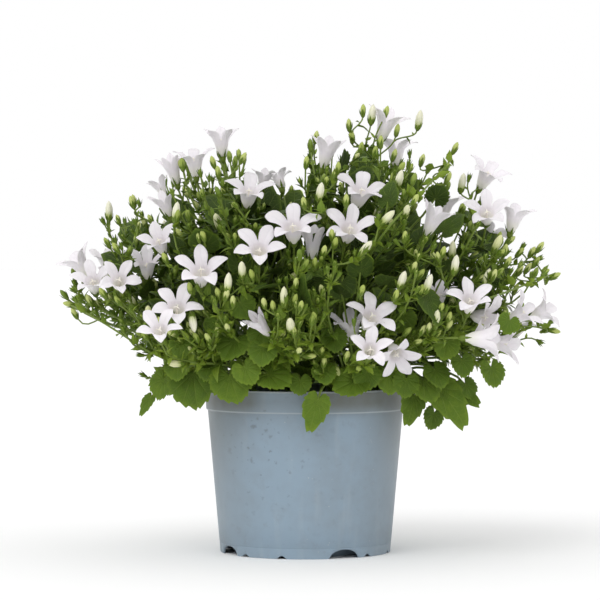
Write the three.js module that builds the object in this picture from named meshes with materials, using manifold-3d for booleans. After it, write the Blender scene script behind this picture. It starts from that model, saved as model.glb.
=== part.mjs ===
// A potted bellflower with white flowers: a mound of leafy flowering stems in a 12 cm grower's pot.
// Millimetres, +Z up. The origin is on the pot's axis, on the surface that the pot stands on.
// The front of the plant is towards -Y.
import * as THREE from "three";
import { mergeVertices } from "three/addons/utils/BufferGeometryUtils.js";
import Module from "manifold-3d";

const wasm = await Module();
wasm.setup();

// The pot.
const potHeight = 98;
const rimRadius = 60;
const bandHeight = 13;
const bandFootRadius = 59.2;
const shoulderRadius = 58.3;
const footRadius = 50.75;
const wall = 1.3;
const floorRadius = 36;
const channelHeight = 5.6;
const potSides = 32;
const archWidth = 19;
const archHeight = 5.2;
const archTurn = 27;
const scallopWidth = 5;
const scallopHeight = 2;
const scallopTurns = [-16, -44];
const drainRadius = 4;

// The soil.
const soilTop = 90;
const soilMound = 1.5;
const soilSides = 24;
const seat = 0.3;

// The mound of the plant: the point that its stems spread from, and the shape that its tips reach.
const crown = new THREE.Vector3(0, 0, 60);
const mound = { x: 152, y: 115, middle: 150, up: 110, down: 60 };
const hubShare = 0.55;
const hubRings = [
  { count: 7, rise: 40, turn: 25 },
  { count: 4, rise: 68, turn: 45 },
];

// Stems, flowers, buds and leaves.
const stemFoot = { radius: 1.7, depth: 10 };
const stemMiddle = 1.4;
const stemTip = 1.2;
const branchRadii = [0.95, 0.9, 0.85, 0.8];
const stalk = 0.75;
const bellLength = 12;
const bell = { base: 1.9, mouth: 5.8, throat: 3, lobe: 13.5, halfWidth: 4, shoulder: 0.42, curl: 2.2, thick: 0.7 };
const bellSpread = { closed: 10, more: 68 };
const bloomRoom = { ahead: 6, tubeEnd: -3, tube: 6, lobes: 16 };
const calyx = { length: 3, radius: 2.1 };
const bloomNodes = 47;
const backBlooms = 11;
const budSizes = [
  { length: 6, radius: 1.5 },
  { length: 9, radius: 1.9 },
  { length: 13, radius: 2.5 },
];
const budDepth = 0.88;
const backBuds = 10;
const leafThick = 0.7;
const stemLeaf = { length: 13, halfWidth: 4.2, widest: 0.55, notch: 1.5, lift: 0.35 };
const backLeaves = 9;
const innerLeaves = { count: 26, width: 19, more: 6, depth: 0.64, out: 0.2 };

// The photograph's camera, for places that are given by its pixels.
const camera = { x: -3.2, y: -1780, z: 177, pitch: 0.0151, pixel: 3.357e-4, middle: 300 };

// Blooms: the pixel at the middle of the mouth, its depth, the way the flower leans in the picture
// (0 is up, 90 is right), how far it turns to the viewer (90 is face on), how far it is open, and how
// far its first lobe is turned clockwise from the way that it leans.
const bloomPlaces = [
  { at: [221, 138], y: 0, lean: -5, face: 5, open: 0.55 },
  { at: [194, 158], y: -16, lean: -6, face: 12, open: 0.85 },
  { at: [172, 166], y: 3, lean: -15, face: 10, open: 0.3 },
  { at: [163, 199], y: -22, lean: -20, face: 15, open: 0.5 },
  { at: [249, 191], y: -45, lean: 8, face: 35, open: 0.9 },
  { at: [293, 227], y: -78, lean: -3, face: 40, open: 1, turn: 5 },
  { at: [259, 248], y: -90, lean: 0, face: 50, open: 1, turn: 30 },
  { at: [201, 271], y: -85, lean: 0, face: 42, open: 1 },
  { at: [158, 239], y: -50, lean: -20, face: 40, open: 0.8 },
  { at: [177, 306], y: -86, lean: 6, face: 50, open: 1, turn: 24 },
  { at: [159, 327], y: -100, lean: -5, face: 48, open: 1, turn: 33 },
  { at: [119, 278], y: -55, lean: 10, face: 58, open: 0.95, turn: 20 },
  { at: [92, 279], y: -33, lean: -10, face: 45, open: 0.9 },
  { at: [78, 262], y: -8, lean: -35, face: 10, open: 0.6 },
  { at: [108, 260], y: 10, lean: 0, face: 20, open: 0.7 },
  { at: [147, 262], y: -20, lean: 0, face: 30, open: 0.7 },
  { at: [327, 150], y: -10, lean: 13, face: 5, open: 0.4 },
  { at: [361, 192], y: -50, lean: 20, face: 32, open: 1, turn: -12 },
  { at: [350, 228], y: -75, lean: 15, face: 45, open: 1, turn: -3 },
  { at: [313, 240], y: -60, lean: 3, face: 5, open: 0.35 },
  { at: [386, 123], y: 5, lean: 18, face: 10, open: 0.6 },
  { at: [434, 218], y: -45, lean: 25, face: 5, open: 0.45 },
  { at: [445, 203], y: 15, lean: 10, face: 10, open: 0.6 },
  { at: [488, 173], y: 0, lean: 28, face: 25, open: 0.9 },
  { at: [487, 211], y: -25, lean: 0, face: 50, open: 0.9 },
  { at: [515, 214], y: -3, lean: 14, face: 5, open: 0.75 },
  { at: [372, 316], y: -86, lean: 25, face: 42, open: 1, turn: -31 },
  { at: [371, 347], y: -104, lean: 10, face: 58, open: 0.95, turn: -7 },
  { at: [350, 325], y: -60, lean: -8, face: 15, open: 0.8 },
  { at: [398, 357], y: -82, lean: 150, face: 50, open: 0.9 },
  { at: [471, 298], y: -78, lean: 10, face: 42, open: 0.95, turn: -22 },
  { at: [487, 318], y: -60, lean: 100, face: 40, open: 0.9 },
  { at: [485, 339], y: -76, lean: 92, face: 5, open: 0.7 },
  { at: [507, 344], y: -50, lean: 95, face: 20, open: 0.7 },
  { at: [547, 310], y: -20, lean: 65, face: 15, open: 0.9 },
  { at: [265, 172], y: 28, lean: 10, face: 5, open: 0.6 },
  { at: [258, 322], y: -86, lean: -40, face: 30, open: 0.15 },
  { at: [440, 290], y: -45, lean: 5, face: 25, open: 0.7 },
  { at: [524, 312], y: -38, lean: 55, face: 20, open: 0.7 },
];

// Buds: pixel of the middle, size from 0 to 2, and lean where the photograph shows one.
const budPlaces = [
  [109, 211, 2, 0], [132, 202, 1], [116, 248, 1], [176, 212, 2, 10], [165, 258, 1], [69, 304, 1, -80],
  [89, 300, 1], [213, 162, 1], [218, 172, 1], [243, 158, 1, 30], [203, 235, 1], [242, 270, 2],
  [228, 283, 2, 5], [208, 338, 1], [193, 322, 2, 170], [316, 137, 1], [320, 192, 2], [338, 168, 1],
  [349, 125, 1], [363, 109, 1], [372, 101, 2], [346, 200, 1], [324, 251, 1], [365, 249, 2, 40],
  [284, 297, 2, 0], [296, 283, 1], [264, 303, 1], [310, 356, 1, 90], [387, 218, 2, 45], [397, 130, 1],
  [419, 120, 2, 10], [455, 148, 1], [448, 178, 1], [462, 183, 2, 10], [422, 160, 1], [399, 180, 2, 15],
  [443, 252, 1], [455, 265, 2, 10], [402, 280, 2], [428, 284, 2, 20], [396, 295, 1], [436, 320, 2, 10],
  [347, 356, 1], [385, 377, 1, 95], [540, 247, 1], [528, 268, 1], [556, 276, 1, 60], [557, 331, 1, 100],
];

// Large leaves: pixel of the middle, depth, width, lean of the tip in the picture, how far the tip
// dips towards the viewer, and how far the upper face turns up (90) or outwards (0).
const leafPlaces = [
  { at: [193, 391], y: -48, width: 29, lean: 175, dip: 25, up: 25 },
  { at: [160, 391], y: -34, width: 18, lean: 200, dip: 10, up: 30 },
  { at: [235, 391], y: -66, width: 24, lean: 160, dip: 20, up: 35 },
  { at: [228, 351], y: -72, width: 20, lean: 215, dip: 25, up: 30 },
  { at: [262, 358], y: -80, width: 17, lean: 190, dip: 30, up: 40 },
  { at: [281, 379], y: -71, width: 21, lean: 110, dip: 20, up: 45 },
  { at: [343, 386], y: -68, width: 21, lean: 250, dip: 25, up: 45 },
  { at: [316, 411], y: -71, width: 18, lean: 183, dip: 5, up: 10 },
  { at: [245, 312], y: -78, width: 16, lean: 150, dip: 30, up: 35 },
  { at: [358, 270], y: -50, width: 18, lean: 20, dip: 30, up: 50 },
  { at: [470, 256], y: -30, width: 22, lean: 60, dip: 20, up: 40 },
  { at: [507, 328], y: -66, width: 13, lean: 200, dip: 30, up: 40 },
  { at: [493, 378], y: -42, width: 17, lean: 195, dip: 15, up: 20 },
  { at: [452, 404], y: -40, width: 28, lean: 160, dip: 20, up: 20 },
  { at: [415, 408], y: -38, width: 15, lean: 200, dip: 15, up: 15 },
  { at: [432, 423], y: -22, width: 14, lean: 190, dip: 10, up: 15 },
  { at: [344, 158], y: 5, width: 17, lean: 20, dip: 20, up: 50 },
  { at: [410, 180], y: -15, width: 16, lean: 40, dip: 20, up: 40 },
];

const upwards = new THREE.Vector3(0, 0, 1);
const sideways = new THREE.Vector3(1, 0, 0);
const group = new THREE.Group();

const plastic = new THREE.MeshStandardMaterial({ color: 0x8b9eac, roughness: 0.45, metalness: 0 });
const earth = new THREE.MeshStandardMaterial({ color: 0x2e2219, roughness: 0.95, metalness: 0 });
const leafGreen = new THREE.MeshStandardMaterial({ color: 0x4b7328, roughness: 0.6, metalness: 0 });
const petalWhite = new THREE.MeshStandardMaterial({ color: 0xf4f0f6, roughness: 0.55, metalness: 0 });

// Seeded draws, the same on every run.
let seed = 11;
function draw(low, high) {
  seed = (Math.imul(seed, 1664525) + 1013904223) >>> 0;
  return low + ((high - low) * seed) / 4294967296;
}

const goldenShare = 0.618;
const radians = (degrees) => (degrees * Math.PI) / 180;

// Solids, and nodes made of them.
function solidOf(points, triangles) {
  const vertProperties = new Float32Array(points.flatMap((p) => [p.x, p.y, p.z]));
  return new wasm.Manifold(
    new wasm.Mesh({ numProp: 3, vertProperties, triVerts: new Uint32Array(triangles) }),
  );
}

function solidOfGeometry(geometry) {
  geometry.deleteAttribute("normal");
  geometry.deleteAttribute("uv");
  const merged = mergeVertices(geometry, 1e-3);
  const place = merged.getAttribute("position");
  const points = [];
  for (let i = 0; i < place.count; i++) points.push(new THREE.Vector3().fromBufferAttribute(place, i));
  const triangles = [];
  for (let i = 0; i < merged.index.count; i += 3) {
    const [a, b, c] = [0, 1, 2].map((k) => merged.index.getX(i + k));
    if (a !== b && b !== c && a !== c) triangles.push(a, b, c);
  }
  return solidOf(points, triangles);
}

function addNode(name, solid, material) {
  const mesh = solid.getMesh();
  const geometry = new THREE.BufferGeometry();
  geometry.setAttribute("position", new THREE.BufferAttribute(mesh.vertProperties, 3));
  geometry.setIndex(new THREE.BufferAttribute(mesh.triVerts, 1));
  geometry.computeVertexNormals();
  const node = new THREE.Mesh(geometry, material);
  node.name = name;
  group.add(node);
  return node;
}

// A body of round sections along a path. A last radius of 0 closes it in a point.
function loft(centres, radii, sides) {
  const points = [];
  const triangles = [];
  const side = new THREE.Vector3();
  const last = centres.length - 1;
  centres.forEach((centre, i) => {
    const ahead = centres[Math.min(i + 1, last)].clone().sub(centres[Math.max(i - 1, 0)]).normalize();
    if (i === 0) side.crossVectors(ahead, Math.abs(ahead.z) < 0.9 ? upwards : sideways);
    side.addScaledVector(ahead, -side.dot(ahead)).normalize();
    const other = ahead.clone().cross(side);
    for (let k = 0; k < (radii[i] ? sides : 1); k++) {
      const turn = (2 * Math.PI * k) / sides;
      const point = centre.clone().addScaledVector(side, radii[i] * Math.cos(turn));
      points.push(point.addScaledVector(other, radii[i] * Math.sin(turn)));
    }
  });
  for (let i = 0; i < last; i++)
    for (let k = 0; k < sides; k++) {
      const [a, b] = [i * sides + k, i * sides + ((k + 1) % sides)];
      if (radii[i + 1]) triangles.push(a, b, b + sides, a, b + sides, a + sides);
      else triangles.push(a, b, (i + 1) * sides);
    }
  for (let k = 1; k < sides - 1; k++) {
    triangles.push(0, k + 1, k);
    if (radii[last]) triangles.push(last * sides, last * sides + k, last * sides + k + 1);
  }
  return solidOf(points, triangles);
}

// The pot: a thin wall with a rim band, a skirt, and a floor with a raised channel round a flat middle.
function potSolid() {
  const lean = (shoulderRadius - footRadius) / (potHeight - bandHeight);
  const inside = (z) => footRadius + lean * z - wall;
  const channelTop = channelHeight + wall;
  const profile = [
    [0, 0], [floorRadius, 0], [floorRadius + 2, channelHeight], [inside(channelHeight), channelHeight],
    [inside(0), 0], [footRadius, 0], [shoulderRadius, potHeight - bandHeight],
    [bandFootRadius, potHeight - bandHeight], [rimRadius, potHeight], [rimRadius - wall, potHeight],
    [inside(potHeight - bandHeight), potHeight - bandHeight - 1], [inside(channelTop), channelTop],
    [floorRadius + 3, channelTop], [floorRadius + 1, wall], [0, wall],
  ].map(([r, z]) => new THREE.Vector2(r, z));
  const lathe = new THREE.LatheGeometry(profile, potSides).rotateX(Math.PI / 2);
  let pot = solidOfGeometry(lathe);
  const archAt = (width, height, turn, curveSegments) => {
    const shape = new THREE.Shape();
    shape.moveTo(-width / 2, -1);
    shape.lineTo(width / 2, -1);
    shape.absellipse(0, 0, width / 2, height, 0, Math.PI, false);
    const extrude = { depth: 6, bevelEnabled: false, curveSegments };
    const arch = new THREE.ExtrudeGeometry(shape, extrude).rotateX(Math.PI / 2);
    arch.translate(0, -(footRadius - 3.5), 0);
    return solidOfGeometry(arch.rotateZ(radians(turn)));
  };
  for (let quarter = 0; quarter < 4; quarter++) {
    pot = pot.subtract(archAt(archWidth, archHeight, archTurn + 90 * quarter, 3));
    scallopTurns.forEach((turn) => {
      pot = pot.subtract(archAt(scallopWidth, scallopHeight, turn + 90 * quarter, 1));
    });
    const hole = new THREE.CylinderGeometry(drainRadius, drainRadius, 6, 6).rotateX(Math.PI / 2);
    hole.translate(0, -(footRadius + floorRadius) / 2, channelHeight);
    pot = pot.subtract(solidOfGeometry(hole.rotateZ(radians(archTurn + 90 * quarter))));
  }
  return pot;
}

// The soil fills the pot to just under its band, with a plain hole for each main stem.
function soilSolid() {
  const lean = (shoulderRadius - footRadius) / (potHeight - bandHeight);
  const inside = (z) => footRadius + lean * z - wall - 2 * seat;
  const floor = channelHeight + wall + seat;
  const edge = inside(soilTop - soilMound - 1) - 0.3;
  const profile = [
    [0, wall + seat], [floorRadius + 0.2, wall + seat], [floorRadius + 2.2, floor],
    [inside(floor), floor], [edge, soilTop - soilMound - 1], [edge * 0.7, soilTop - 0.5],
    [0, soilTop],
  ].map(([r, z]) => new THREE.Vector2(r, z));
  let soil = solidOfGeometry(new THREE.LatheGeometry(profile, soilSides).rotateX(Math.PI / 2));
  stems.forEach((stem) => {
    const foot = stem.path[0];
    const ahead = stem.path[1].clone().sub(foot).normalize();
    const ends = [foot.clone().addScaledVector(ahead, -seat), foot.clone().addScaledVector(ahead, 16)];
    const room = stemFoot.radius + 2 * seat;
    soil = soil.subtract(loft(ends, [room, room], 5));
  });
  return soil;
}

// The point that the photograph shows at a pixel, at depth y.
function spot([px, py], y) {
  const reach = y - camera.y;
  const across = (px - camera.middle) * camera.pixel;
  const down = camera.pitch + (py - camera.middle) * camera.pixel;
  return new THREE.Vector3(camera.x + across * reach, y, camera.z - down * reach);
}

// Depth of the mound's front surface at a pixel, on the mound shrunk to a share of its size.
function moundDepth(at, share) {
  let y = -80;
  for (let i = 0; i < 6; i++) {
    const p = spot(at, y);
    const height = p.z > mound.middle ? mound.up : mound.down;
    const rest = 1 - (p.x / (mound.x * share)) ** 2 - ((p.z - mound.middle) / (height * share)) ** 2;
    y = -mound.y * share * Math.sqrt(Math.max(rest, 0));
  }
  return y;
}

// A point on the mound, shrunk to a share of its size, at a turn round the axis and a rise.
function moundPoint(turn, rise, share) {
  const [a, b] = [radians(turn), radians(rise)];
  const height = rise > 0 ? mound.up : mound.down;
  return new THREE.Vector3(
    share * mound.x * Math.cos(a) * Math.cos(b),
    share * mound.y * Math.sin(a) * Math.cos(b),
    mound.middle + share * height * Math.sin(b),
  );
}

// A direction that leans in the picture plane and turns towards the viewer.
function pictureAxis(lean, face) {
  const [a, b] = [radians(lean), radians(face)];
  return new THREE.Vector3(Math.sin(a) * Math.cos(b), -Math.sin(b), Math.cos(a) * Math.cos(b));
}

// Main stems: each rises from its hole in the soil to a hub inside the mound.
const stems = [];
hubRings.forEach(({ count, rise, turn }) => {
  for (let i = 0; i < count; i++) {
    const a = radians(turn + (360 * i) / count - 90);
    const b = radians(rise);
    const way = new THREE.Vector3(Math.cos(a) * Math.cos(b), Math.sin(a) * Math.cos(b), Math.sin(b));
    let [near, far] = [0, 260];
    for (let k = 0; k < 24; k++) {
      const half = (near + far) / 2;
      const p = crown.clone().addScaledVector(way, half);
      const height = p.z > mound.middle ? mound.up : mound.down;
      const size = (p.x / mound.x) ** 2 + (p.y / mound.y) ** 2 + ((p.z - mound.middle) / height) ** 2;
      if (size < 1) near = half;
      else far = half;
    }
    const hub = crown.clone().addScaledVector(way, near * hubShare);
    const foot = crown.clone().addScaledVector(way, (soilTop - stemFoot.depth - crown.z) / way.z);
    const bend = foot.clone().lerp(hub, 0.5).addScaledVector(upwards, 3);
    const path = new THREE.QuadraticBezierCurve3(foot, bend, hub).getPoints(2);
    stems.push({ way, hub, path, points: [] });
  }
});

function nearestStem(point) {
  const way = point.clone().sub(crown).normalize();
  let best = stems[0];
  stems.forEach((stem) => {
    if (stem.way.dot(way) > best.way.dot(way)) best = stem;
  });
  return best;
}

// Everything that is placed, with its owner and box, so that what comes later is bent clear of it.
const placed = [];
function crosses(solid, box, others) {
  return others.some((other) => {
    const apart = [0, 1, 2].some((k) => other.box.min[k] > box.max[k] || other.box.max[k] < box.min[k]);
    return !apart && !solid.intersect(other.solid).isEmpty();
  });
}

function place(owner, solid) {
  const piece = { owner, solid, box: solid.boundingBox() };
  placed.push(piece);
  return piece;
}

// Tries a piece in its place and then in the places after it. It keeps the first that is clear of
// all but the pieces that carry it, or else the first that is clear of the other nodes.
function settle(owner, carriers, tries, make, strict = false) {
  const others = placed.filter((piece) => piece.owner !== owner);
  let second;
  for (let i = 0; i < tries; i++) {
    const solid = make(i);
    const box = solid.boundingBox();
    if (crosses(solid, box, others)) continue;
    const carrier = carriers[Math.min(i, carriers.length - 1)];
    const own = placed.filter((piece) => piece.owner === owner && carrier !== piece.solid);
    if (!crosses(solid, box, own)) return { ...place(owner, solid), tried: i };
    if (!strict) second = second || { solid, tried: i };
  }
  return second && { ...place(owner, second.solid), tried: second.tried };
}

// A bell flower in its own frame, base at the origin and opening along +Z: a five-sided tube that
// widens to its mouth, and five pointed lobes that spread by their openness.
function bloomSolid(open) {
  const points = [];
  const triangles = [];
  const ring = (radius, z, half) => {
    for (let i = 0; i < 5; i++) {
      const turn = (2 * Math.PI * (i + half)) / 5;
      points.push(new THREE.Vector3(radius * Math.cos(turn), radius * Math.sin(turn), z));
    }
    return points.length - 5;
  };
  const mouth = bell.mouth * (0.75 + 0.25 * open);
  const base = ring(bell.base, 0, 0.5);
  const outer = ring(mouth, bellLength - bell.thick / 2, 0.5);
  const inner = ring(mouth - bell.thick, bellLength, 0.5);
  const throat = points.push(new THREE.Vector3(0, 0, bell.throat)) - 1;
  const spread = radians(bellSpread.closed + bellSpread.more * open);
  const lobe = (i, share, half, back) => {
    const turn = (2 * Math.PI * i) / 5;
    const run = bell.lobe * share;
    const curl = open * bell.curl * share * share;
    const out = mouth * Math.cos(Math.PI / 5) + run * Math.sin(spread) + back * Math.cos(spread);
    const z = bellLength + run * Math.cos(spread) - curl - back * Math.sin(spread);
    const at = new THREE.Vector3(out, half, z).applyAxisAngle(upwards, turn);
    return points.push(at) - 1;
  };
  for (let i = 0; i < 5; i++) {
    const before = (i + 4) % 5;
    triangles.push(base + before, base + i, outer + i, base + before, outer + i, outer + before);
    triangles.push(inner + i, throat, inner + before);
    const faces = [0, bell.thick].map((back) => [
      (back ? outer : inner) + before,
      lobe(i, bell.shoulder, -bell.halfWidth, back),
      lobe(i, 1, 0, back),
      lobe(i, bell.shoulder, bell.halfWidth, back),
      (back ? outer : inner) + i,
    ]);
    const [front, rear] = faces;
    [[0, 1, 3], [0, 3, 4], [1, 2, 3]].forEach(([a, b, c]) => {
      triangles.push(front[a], front[b], front[c]);
      triangles.push(rear[a], rear[c], rear[b]);
    });
    for (let k = 0; k < 4; k++) {
      triangles.push(front[k], rear[k], rear[k + 1], front[k], rear[k + 1], front[k + 1]);
    }
  }
  triangles.push(base, base + 2, base + 1, base, base + 3, base + 2, base, base + 4, base + 3);
  return solidOf(points, triangles);
}

// Blooms: those of the photograph, then those of the side that it doesn't show.
const blooms = bloomPlaces.map(({ at, y, lean, face, open, turn = 0 }) => {
  const axis = pictureAxis(lean, face);
  const first = pictureAxis(lean, face - 90).applyAxisAngle(axis, -radians(turn));
  return { mouth: spot(at, y), axis, first, open };
});
for (let i = 0; i < backBlooms; i++) {
  const turn = 8 + 164 * ((i * goldenShare) % 1) + draw(-6, 6);
  const mouth = moundPoint(turn, -18 + (84 * (i + 0.5)) / backBlooms, draw(0.86, 0.95));
  const axis = mouth.clone().sub(crown).normalize().multiplyScalar(0.8);
  axis.add(new THREE.Vector3(draw(-0.3, 0.3), draw(-0.2, 0.3), draw(0.2, 0.7))).normalize();
  const first = axis.clone().cross(sideways).normalize();
  blooms.push({ mouth, axis, first, open: draw(0.5, 1) });
}
blooms.forEach((bloom, i) => {
  const { axis, first } = bloom;
  bloom.base = bloom.mouth.clone().addScaledVector(axis, -bellLength);
  bloom.stem = nearestStem(bloom.base);
  bloom.own = i < bloomNodes;
  bloom.place = new THREE.Matrix4().makeBasis(first, axis.clone().cross(first), axis);
  bloom.place.setPosition(bloom.base);
  bloom.solid = bloomSolid(bloom.open);
  place(bloom.own ? bloom : bloom.stem, bloom.solid.transform(bloom.place.elements));
});

// True where a point is in the room that a bloom's tube and lobes take.
function inBloom(point, bloom, spare) {
  const from = point.clone().sub(bloom.mouth);
  const along = from.dot(bloom.axis);
  const out = Math.sqrt(Math.max(from.lengthSq() - along * along, 0));
  if (along < -bellLength - spare || along > bloomRoom.ahead + spare) return false;
  return out < (along < bloomRoom.tubeEnd ? bloomRoom.tube : bloomRoom.lobes) + spare;
}

const pot = place("pot", potSolid());
stems.forEach((stem) => {
  stem.piece = place(stem, loft(stem.path, [stemFoot.radius, stemMiddle, stemTip], 4));
});

// A side branch from its main stem to a base, where it arrives along an axis. Its middle is bowed
// sideways, by the first of a few bows that keeps it out of the other blooms.
const bows = [0, 7, -7, 14, -14, 21, -21];
function branchCurve(from, base, axis, bow) {
  const reach = base.distanceTo(from);
  const side = base.clone().sub(from).cross(upwards).normalize();
  const first = from.clone().lerp(base, 0.35).addScaledVector(upwards, 0.1 * reach);
  const second = base.clone().addScaledVector(axis, -0.35 * reach);
  first.addScaledVector(side, bow);
  second.addScaledVector(side, bow * 0.6);
  return new THREE.CubicBezierCurve3(from, first, second, base);
}

function bowOf(from, base, axis, own) {
  const free = bows.find((bow) => {
    const curve = branchCurve(from, base, axis, bow);
    return !blooms.some((bloom) => {
      if (bloom === own) return false;
      for (let t = 0.15; t < 0.95; t += 0.08) if (inBloom(curve.getPoint(t), bloom, 1)) return true;
      return false;
    });
  });
  return free === undefined ? 0 : free;
}

blooms.forEach((bloom, n) => {
  const stem = bloom.stem;
  const start = stem.path[1].clone().lerp(stem.hub, 0.3 + 0.65 * ((n * goldenShare) % 1));
  const seatPoint = bloom.base.clone().addScaledVector(bloom.axis, bloom.own ? -seat : 0.6);
  const neck = bloom.base.clone().addScaledVector(bloom.axis, -seat - calyx.length);
  const first = bows.indexOf(bowOf(start, neck, bloom.axis, bloom));
  const pathOf = (i) => {
    return branchCurve(start, neck, bloom.axis, bows[(first + i) % bows.length]).getPoints(3);
  };
  bloom.piece = settle(stem, [stem.piece.solid], bows.length, (i) => {
    return loft([...pathOf(i), seatPoint], [...branchRadii, calyx.radius], 3);
  });
  bloom.branch = pathOf(bloom.piece.tried);
  const [, middle, high, top] = bloom.branch;
  [0.25, 0.75].forEach((share) => {
    stem.points.push({ at: middle.clone().lerp(high, share), piece: bloom.piece });
    stem.points.push({ at: high.clone().lerp(top, share), piece: bloom.piece });
  });
});

// Buds stand on short stalks, from the nearest branch of the same spray.
function addBud(middle, size, axis) {
  const { length, radius } = budSizes[size];
  const stem = nearestStem(middle);
  const base = middle.clone().addScaledVector(axis, -length / 2);
  const reach = ({ at }) => at.distanceTo(base);
  const seats = [...stem.points, { at: stem.path[1].clone().lerp(stem.hub, 0.9), piece: stem.piece }];
  const near = seats.filter((point) => reach(point) > 8).sort((one, two) => reach(one) - reach(two));
  const tries = 6;
  const carriers = near.slice(0, tries).map((point) => point.piece.solid);
  settle(stem, carriers, Math.min(tries, near.length), (i) => {
    const from = near[i].at;
    const foot = base.clone().lerp(from, 0.05 * i);
    const belly = foot.clone().addScaledVector(axis, length * 0.45);
    return loft([from, foot, belly, foot.clone().addScaledVector(axis, length)], [0.6, 0.9, radius, 0], 4);
  });
}

budPlaces.forEach(([px, py, size, lean]) => {
  const middle = spot([px, py], moundDepth([px, py], budDepth));
  const out = middle.clone().sub(crown).normalize();
  out.add(new THREE.Vector3(draw(-0.3, 0.3), draw(-0.4, 0), 0.6)).normalize();
  addBud(middle, size, lean === undefined ? out : pictureAxis(lean, 15));
});
for (let i = 0; i < backBuds; i++) {
  const turn = 3 + 174 * ((i * goldenShare + 0.3) % 1);
  const middle = moundPoint(turn, -22 + (92 * (i + 0.5)) / backBuds, draw(0.88, 0.98));
  const axis = middle.clone().sub(crown).normalize();
  axis.add(new THREE.Vector3(draw(-0.3, 0.3), draw(-0.2, 0.2), 0.6)).normalize();
  const size = Math.floor(draw(0.3, 2.99));
  if (!blooms.some((bloom) => inBloom(middle, bloom, 3))) addBud(middle, size, axis);
}

// Half outlines of the large and the inner leaves, in shares of width and length, from stalk to tip.
const kidneyHalf = [[0.3, -0.06], [0.5, 0.2], [0.42, 0.36], [0.47, 0.56], [0.26, 0.7]];
const heartHalf = [[0.34, -0.06], [0.5, 0.3], [0.3, 0.72]];
const leafRatio = 0.88;

// A leaf on its stalk, which runs on into the blade: a four-sided path that ends in the blade's base.
function leafSolid(path, base, tip, face, width, halfOutline) {
  const length = width * leafRatio;
  const side = tip.clone().cross(face).normalize();
  const normal = side.clone().cross(tip).normalize();
  const half = halfOutline.map(([u, v]) => [u * width, v * length]);
  const outline = [[stalk, 0], ...half, [0, length], ...half.map(([u, v]) => [-u, v]).reverse(), [-stalk, 0]];
  const count = outline.length;
  const points = [];
  [leafThick / 2, -leafThick / 2].forEach((thick) => {
    [[0, 0.4 * length], ...outline].forEach(([u, v]) => {
      const lift = 0.12 * (Math.abs(u) - stalk) - (0.18 * v * v) / length + thick;
      const at = base.clone().addScaledVector(side, u).addScaledVector(tip, v);
      points.push(at.addScaledVector(normal, lift));
    });
  });
  const triangles = [];
  const faceAt = (a, b) => triangles.push(0, a, b, count + 1, b + count + 1, a + count + 1);
  for (let a = 1; a < count; a++) {
    faceAt(a, a + 1);
    triangles.push(a, a + count + 1, a + count + 2, a, a + count + 2, a + 1);
  }
  faceAt(count, 1);
  let ring = [1, count, 2 * count + 1, count + 2];
  path.forEach((at, i) => {
    const ahead = (path[i - 1] || base).clone().sub(at).normalize();
    const up = side.clone().cross(ahead).normalize();
    const next = [[1, 1], [-1, 1], [-1, -1], [1, -1]].map(([u, n]) => {
      const corner = at.clone().addScaledVector(side, u * stalk);
      return points.push(corner.addScaledVector(up, n * stalk * 0.6)) - 1;
    });
    for (let k = 0; k < 4; k++) {
      const [a, b, c, d] = [ring[k], ring[(k + 1) % 4], next[(k + 1) % 4], next[k]];
      triangles.push(a, b, c, a, c, d);
    }
    ring = next;
  });
  triangles.push(ring[0], ring[1], ring[2], ring[0], ring[2], ring[3]);
  return solidOf(points, triangles);
}

// A large leaf's stalk rises from the foot of its spray and arches over the rim.
function addLargeLeaf(middle, width, tip, face) {
  const length = width * leafRatio;
  const stem = nearestStem(middle);
  const start = stem.path[0].clone().lerp(stem.path[1], 0.7);
  const outwards = middle.clone().setZ(0).normalize();
  settle(stem, [stem.piece.solid], 7, (i) => {
    const base = middle.clone().addScaledVector(tip, -0.45 * length);
    base.addScaledVector(outwards, i % 2 ? -1.5 * i : 1.5 * i);
    base.z += 0.7 * i;
    const reach = base.distanceTo(start);
    const rise = start.clone().addScaledVector(upwards, 0.45 * reach).lerp(base, 0.25);
    const before = base.clone().addScaledVector(tip, -0.25 * reach);
    before.z = Math.max(before.z, potHeight + 6);
    const curve = new THREE.CubicBezierCurve3(base, before, rise, start);
    return leafSolid(curve.getPoints(3).slice(1), base, tip, face, width, kidneyHalf);
  });
}

// An inner leaf stands on a straight stalk from the upper half of its stem. It is moved along the
// stem and towards the hub until it is clear.
function addInnerLeaf(i) {
  const share = (i + 0.5) / innerLeaves.count;
  const loose = (i * goldenShare) % 1;
  const spread = (i * 5 * goldenShare) % 1;
  const middle = moundPoint(-25 + 230 * loose, -8 + 80 * share, innerLeaves.depth + innerLeaves.out * spread);
  const stem = nearestStem(middle);
  const out = middle.clone().sub(crown).normalize();
  const width = innerLeaves.width + innerLeaves.more * spread;
  const around = out.clone().cross(upwards).normalize();
  const tip = out.clone().addScaledVector(around, 1.4 * (loose - 0.5)).normalize();
  const face = out.clone().multiplyScalar(0.9).addScaledVector(upwards, 0.8).normalize();
  settle(stem, [stem.piece.solid], 8, (k) => {
    const start = stem.path[1].clone().lerp(stem.hub, (0.35 + 0.5 * spread + 0.13 * k) % 0.95);
    const base = middle.clone().lerp(stem.hub, 0.06 * k);
    return leafSolid([start], base, tip, face, width * (1 - 0.03 * k), heartHalf);
  }, true);
}

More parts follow.
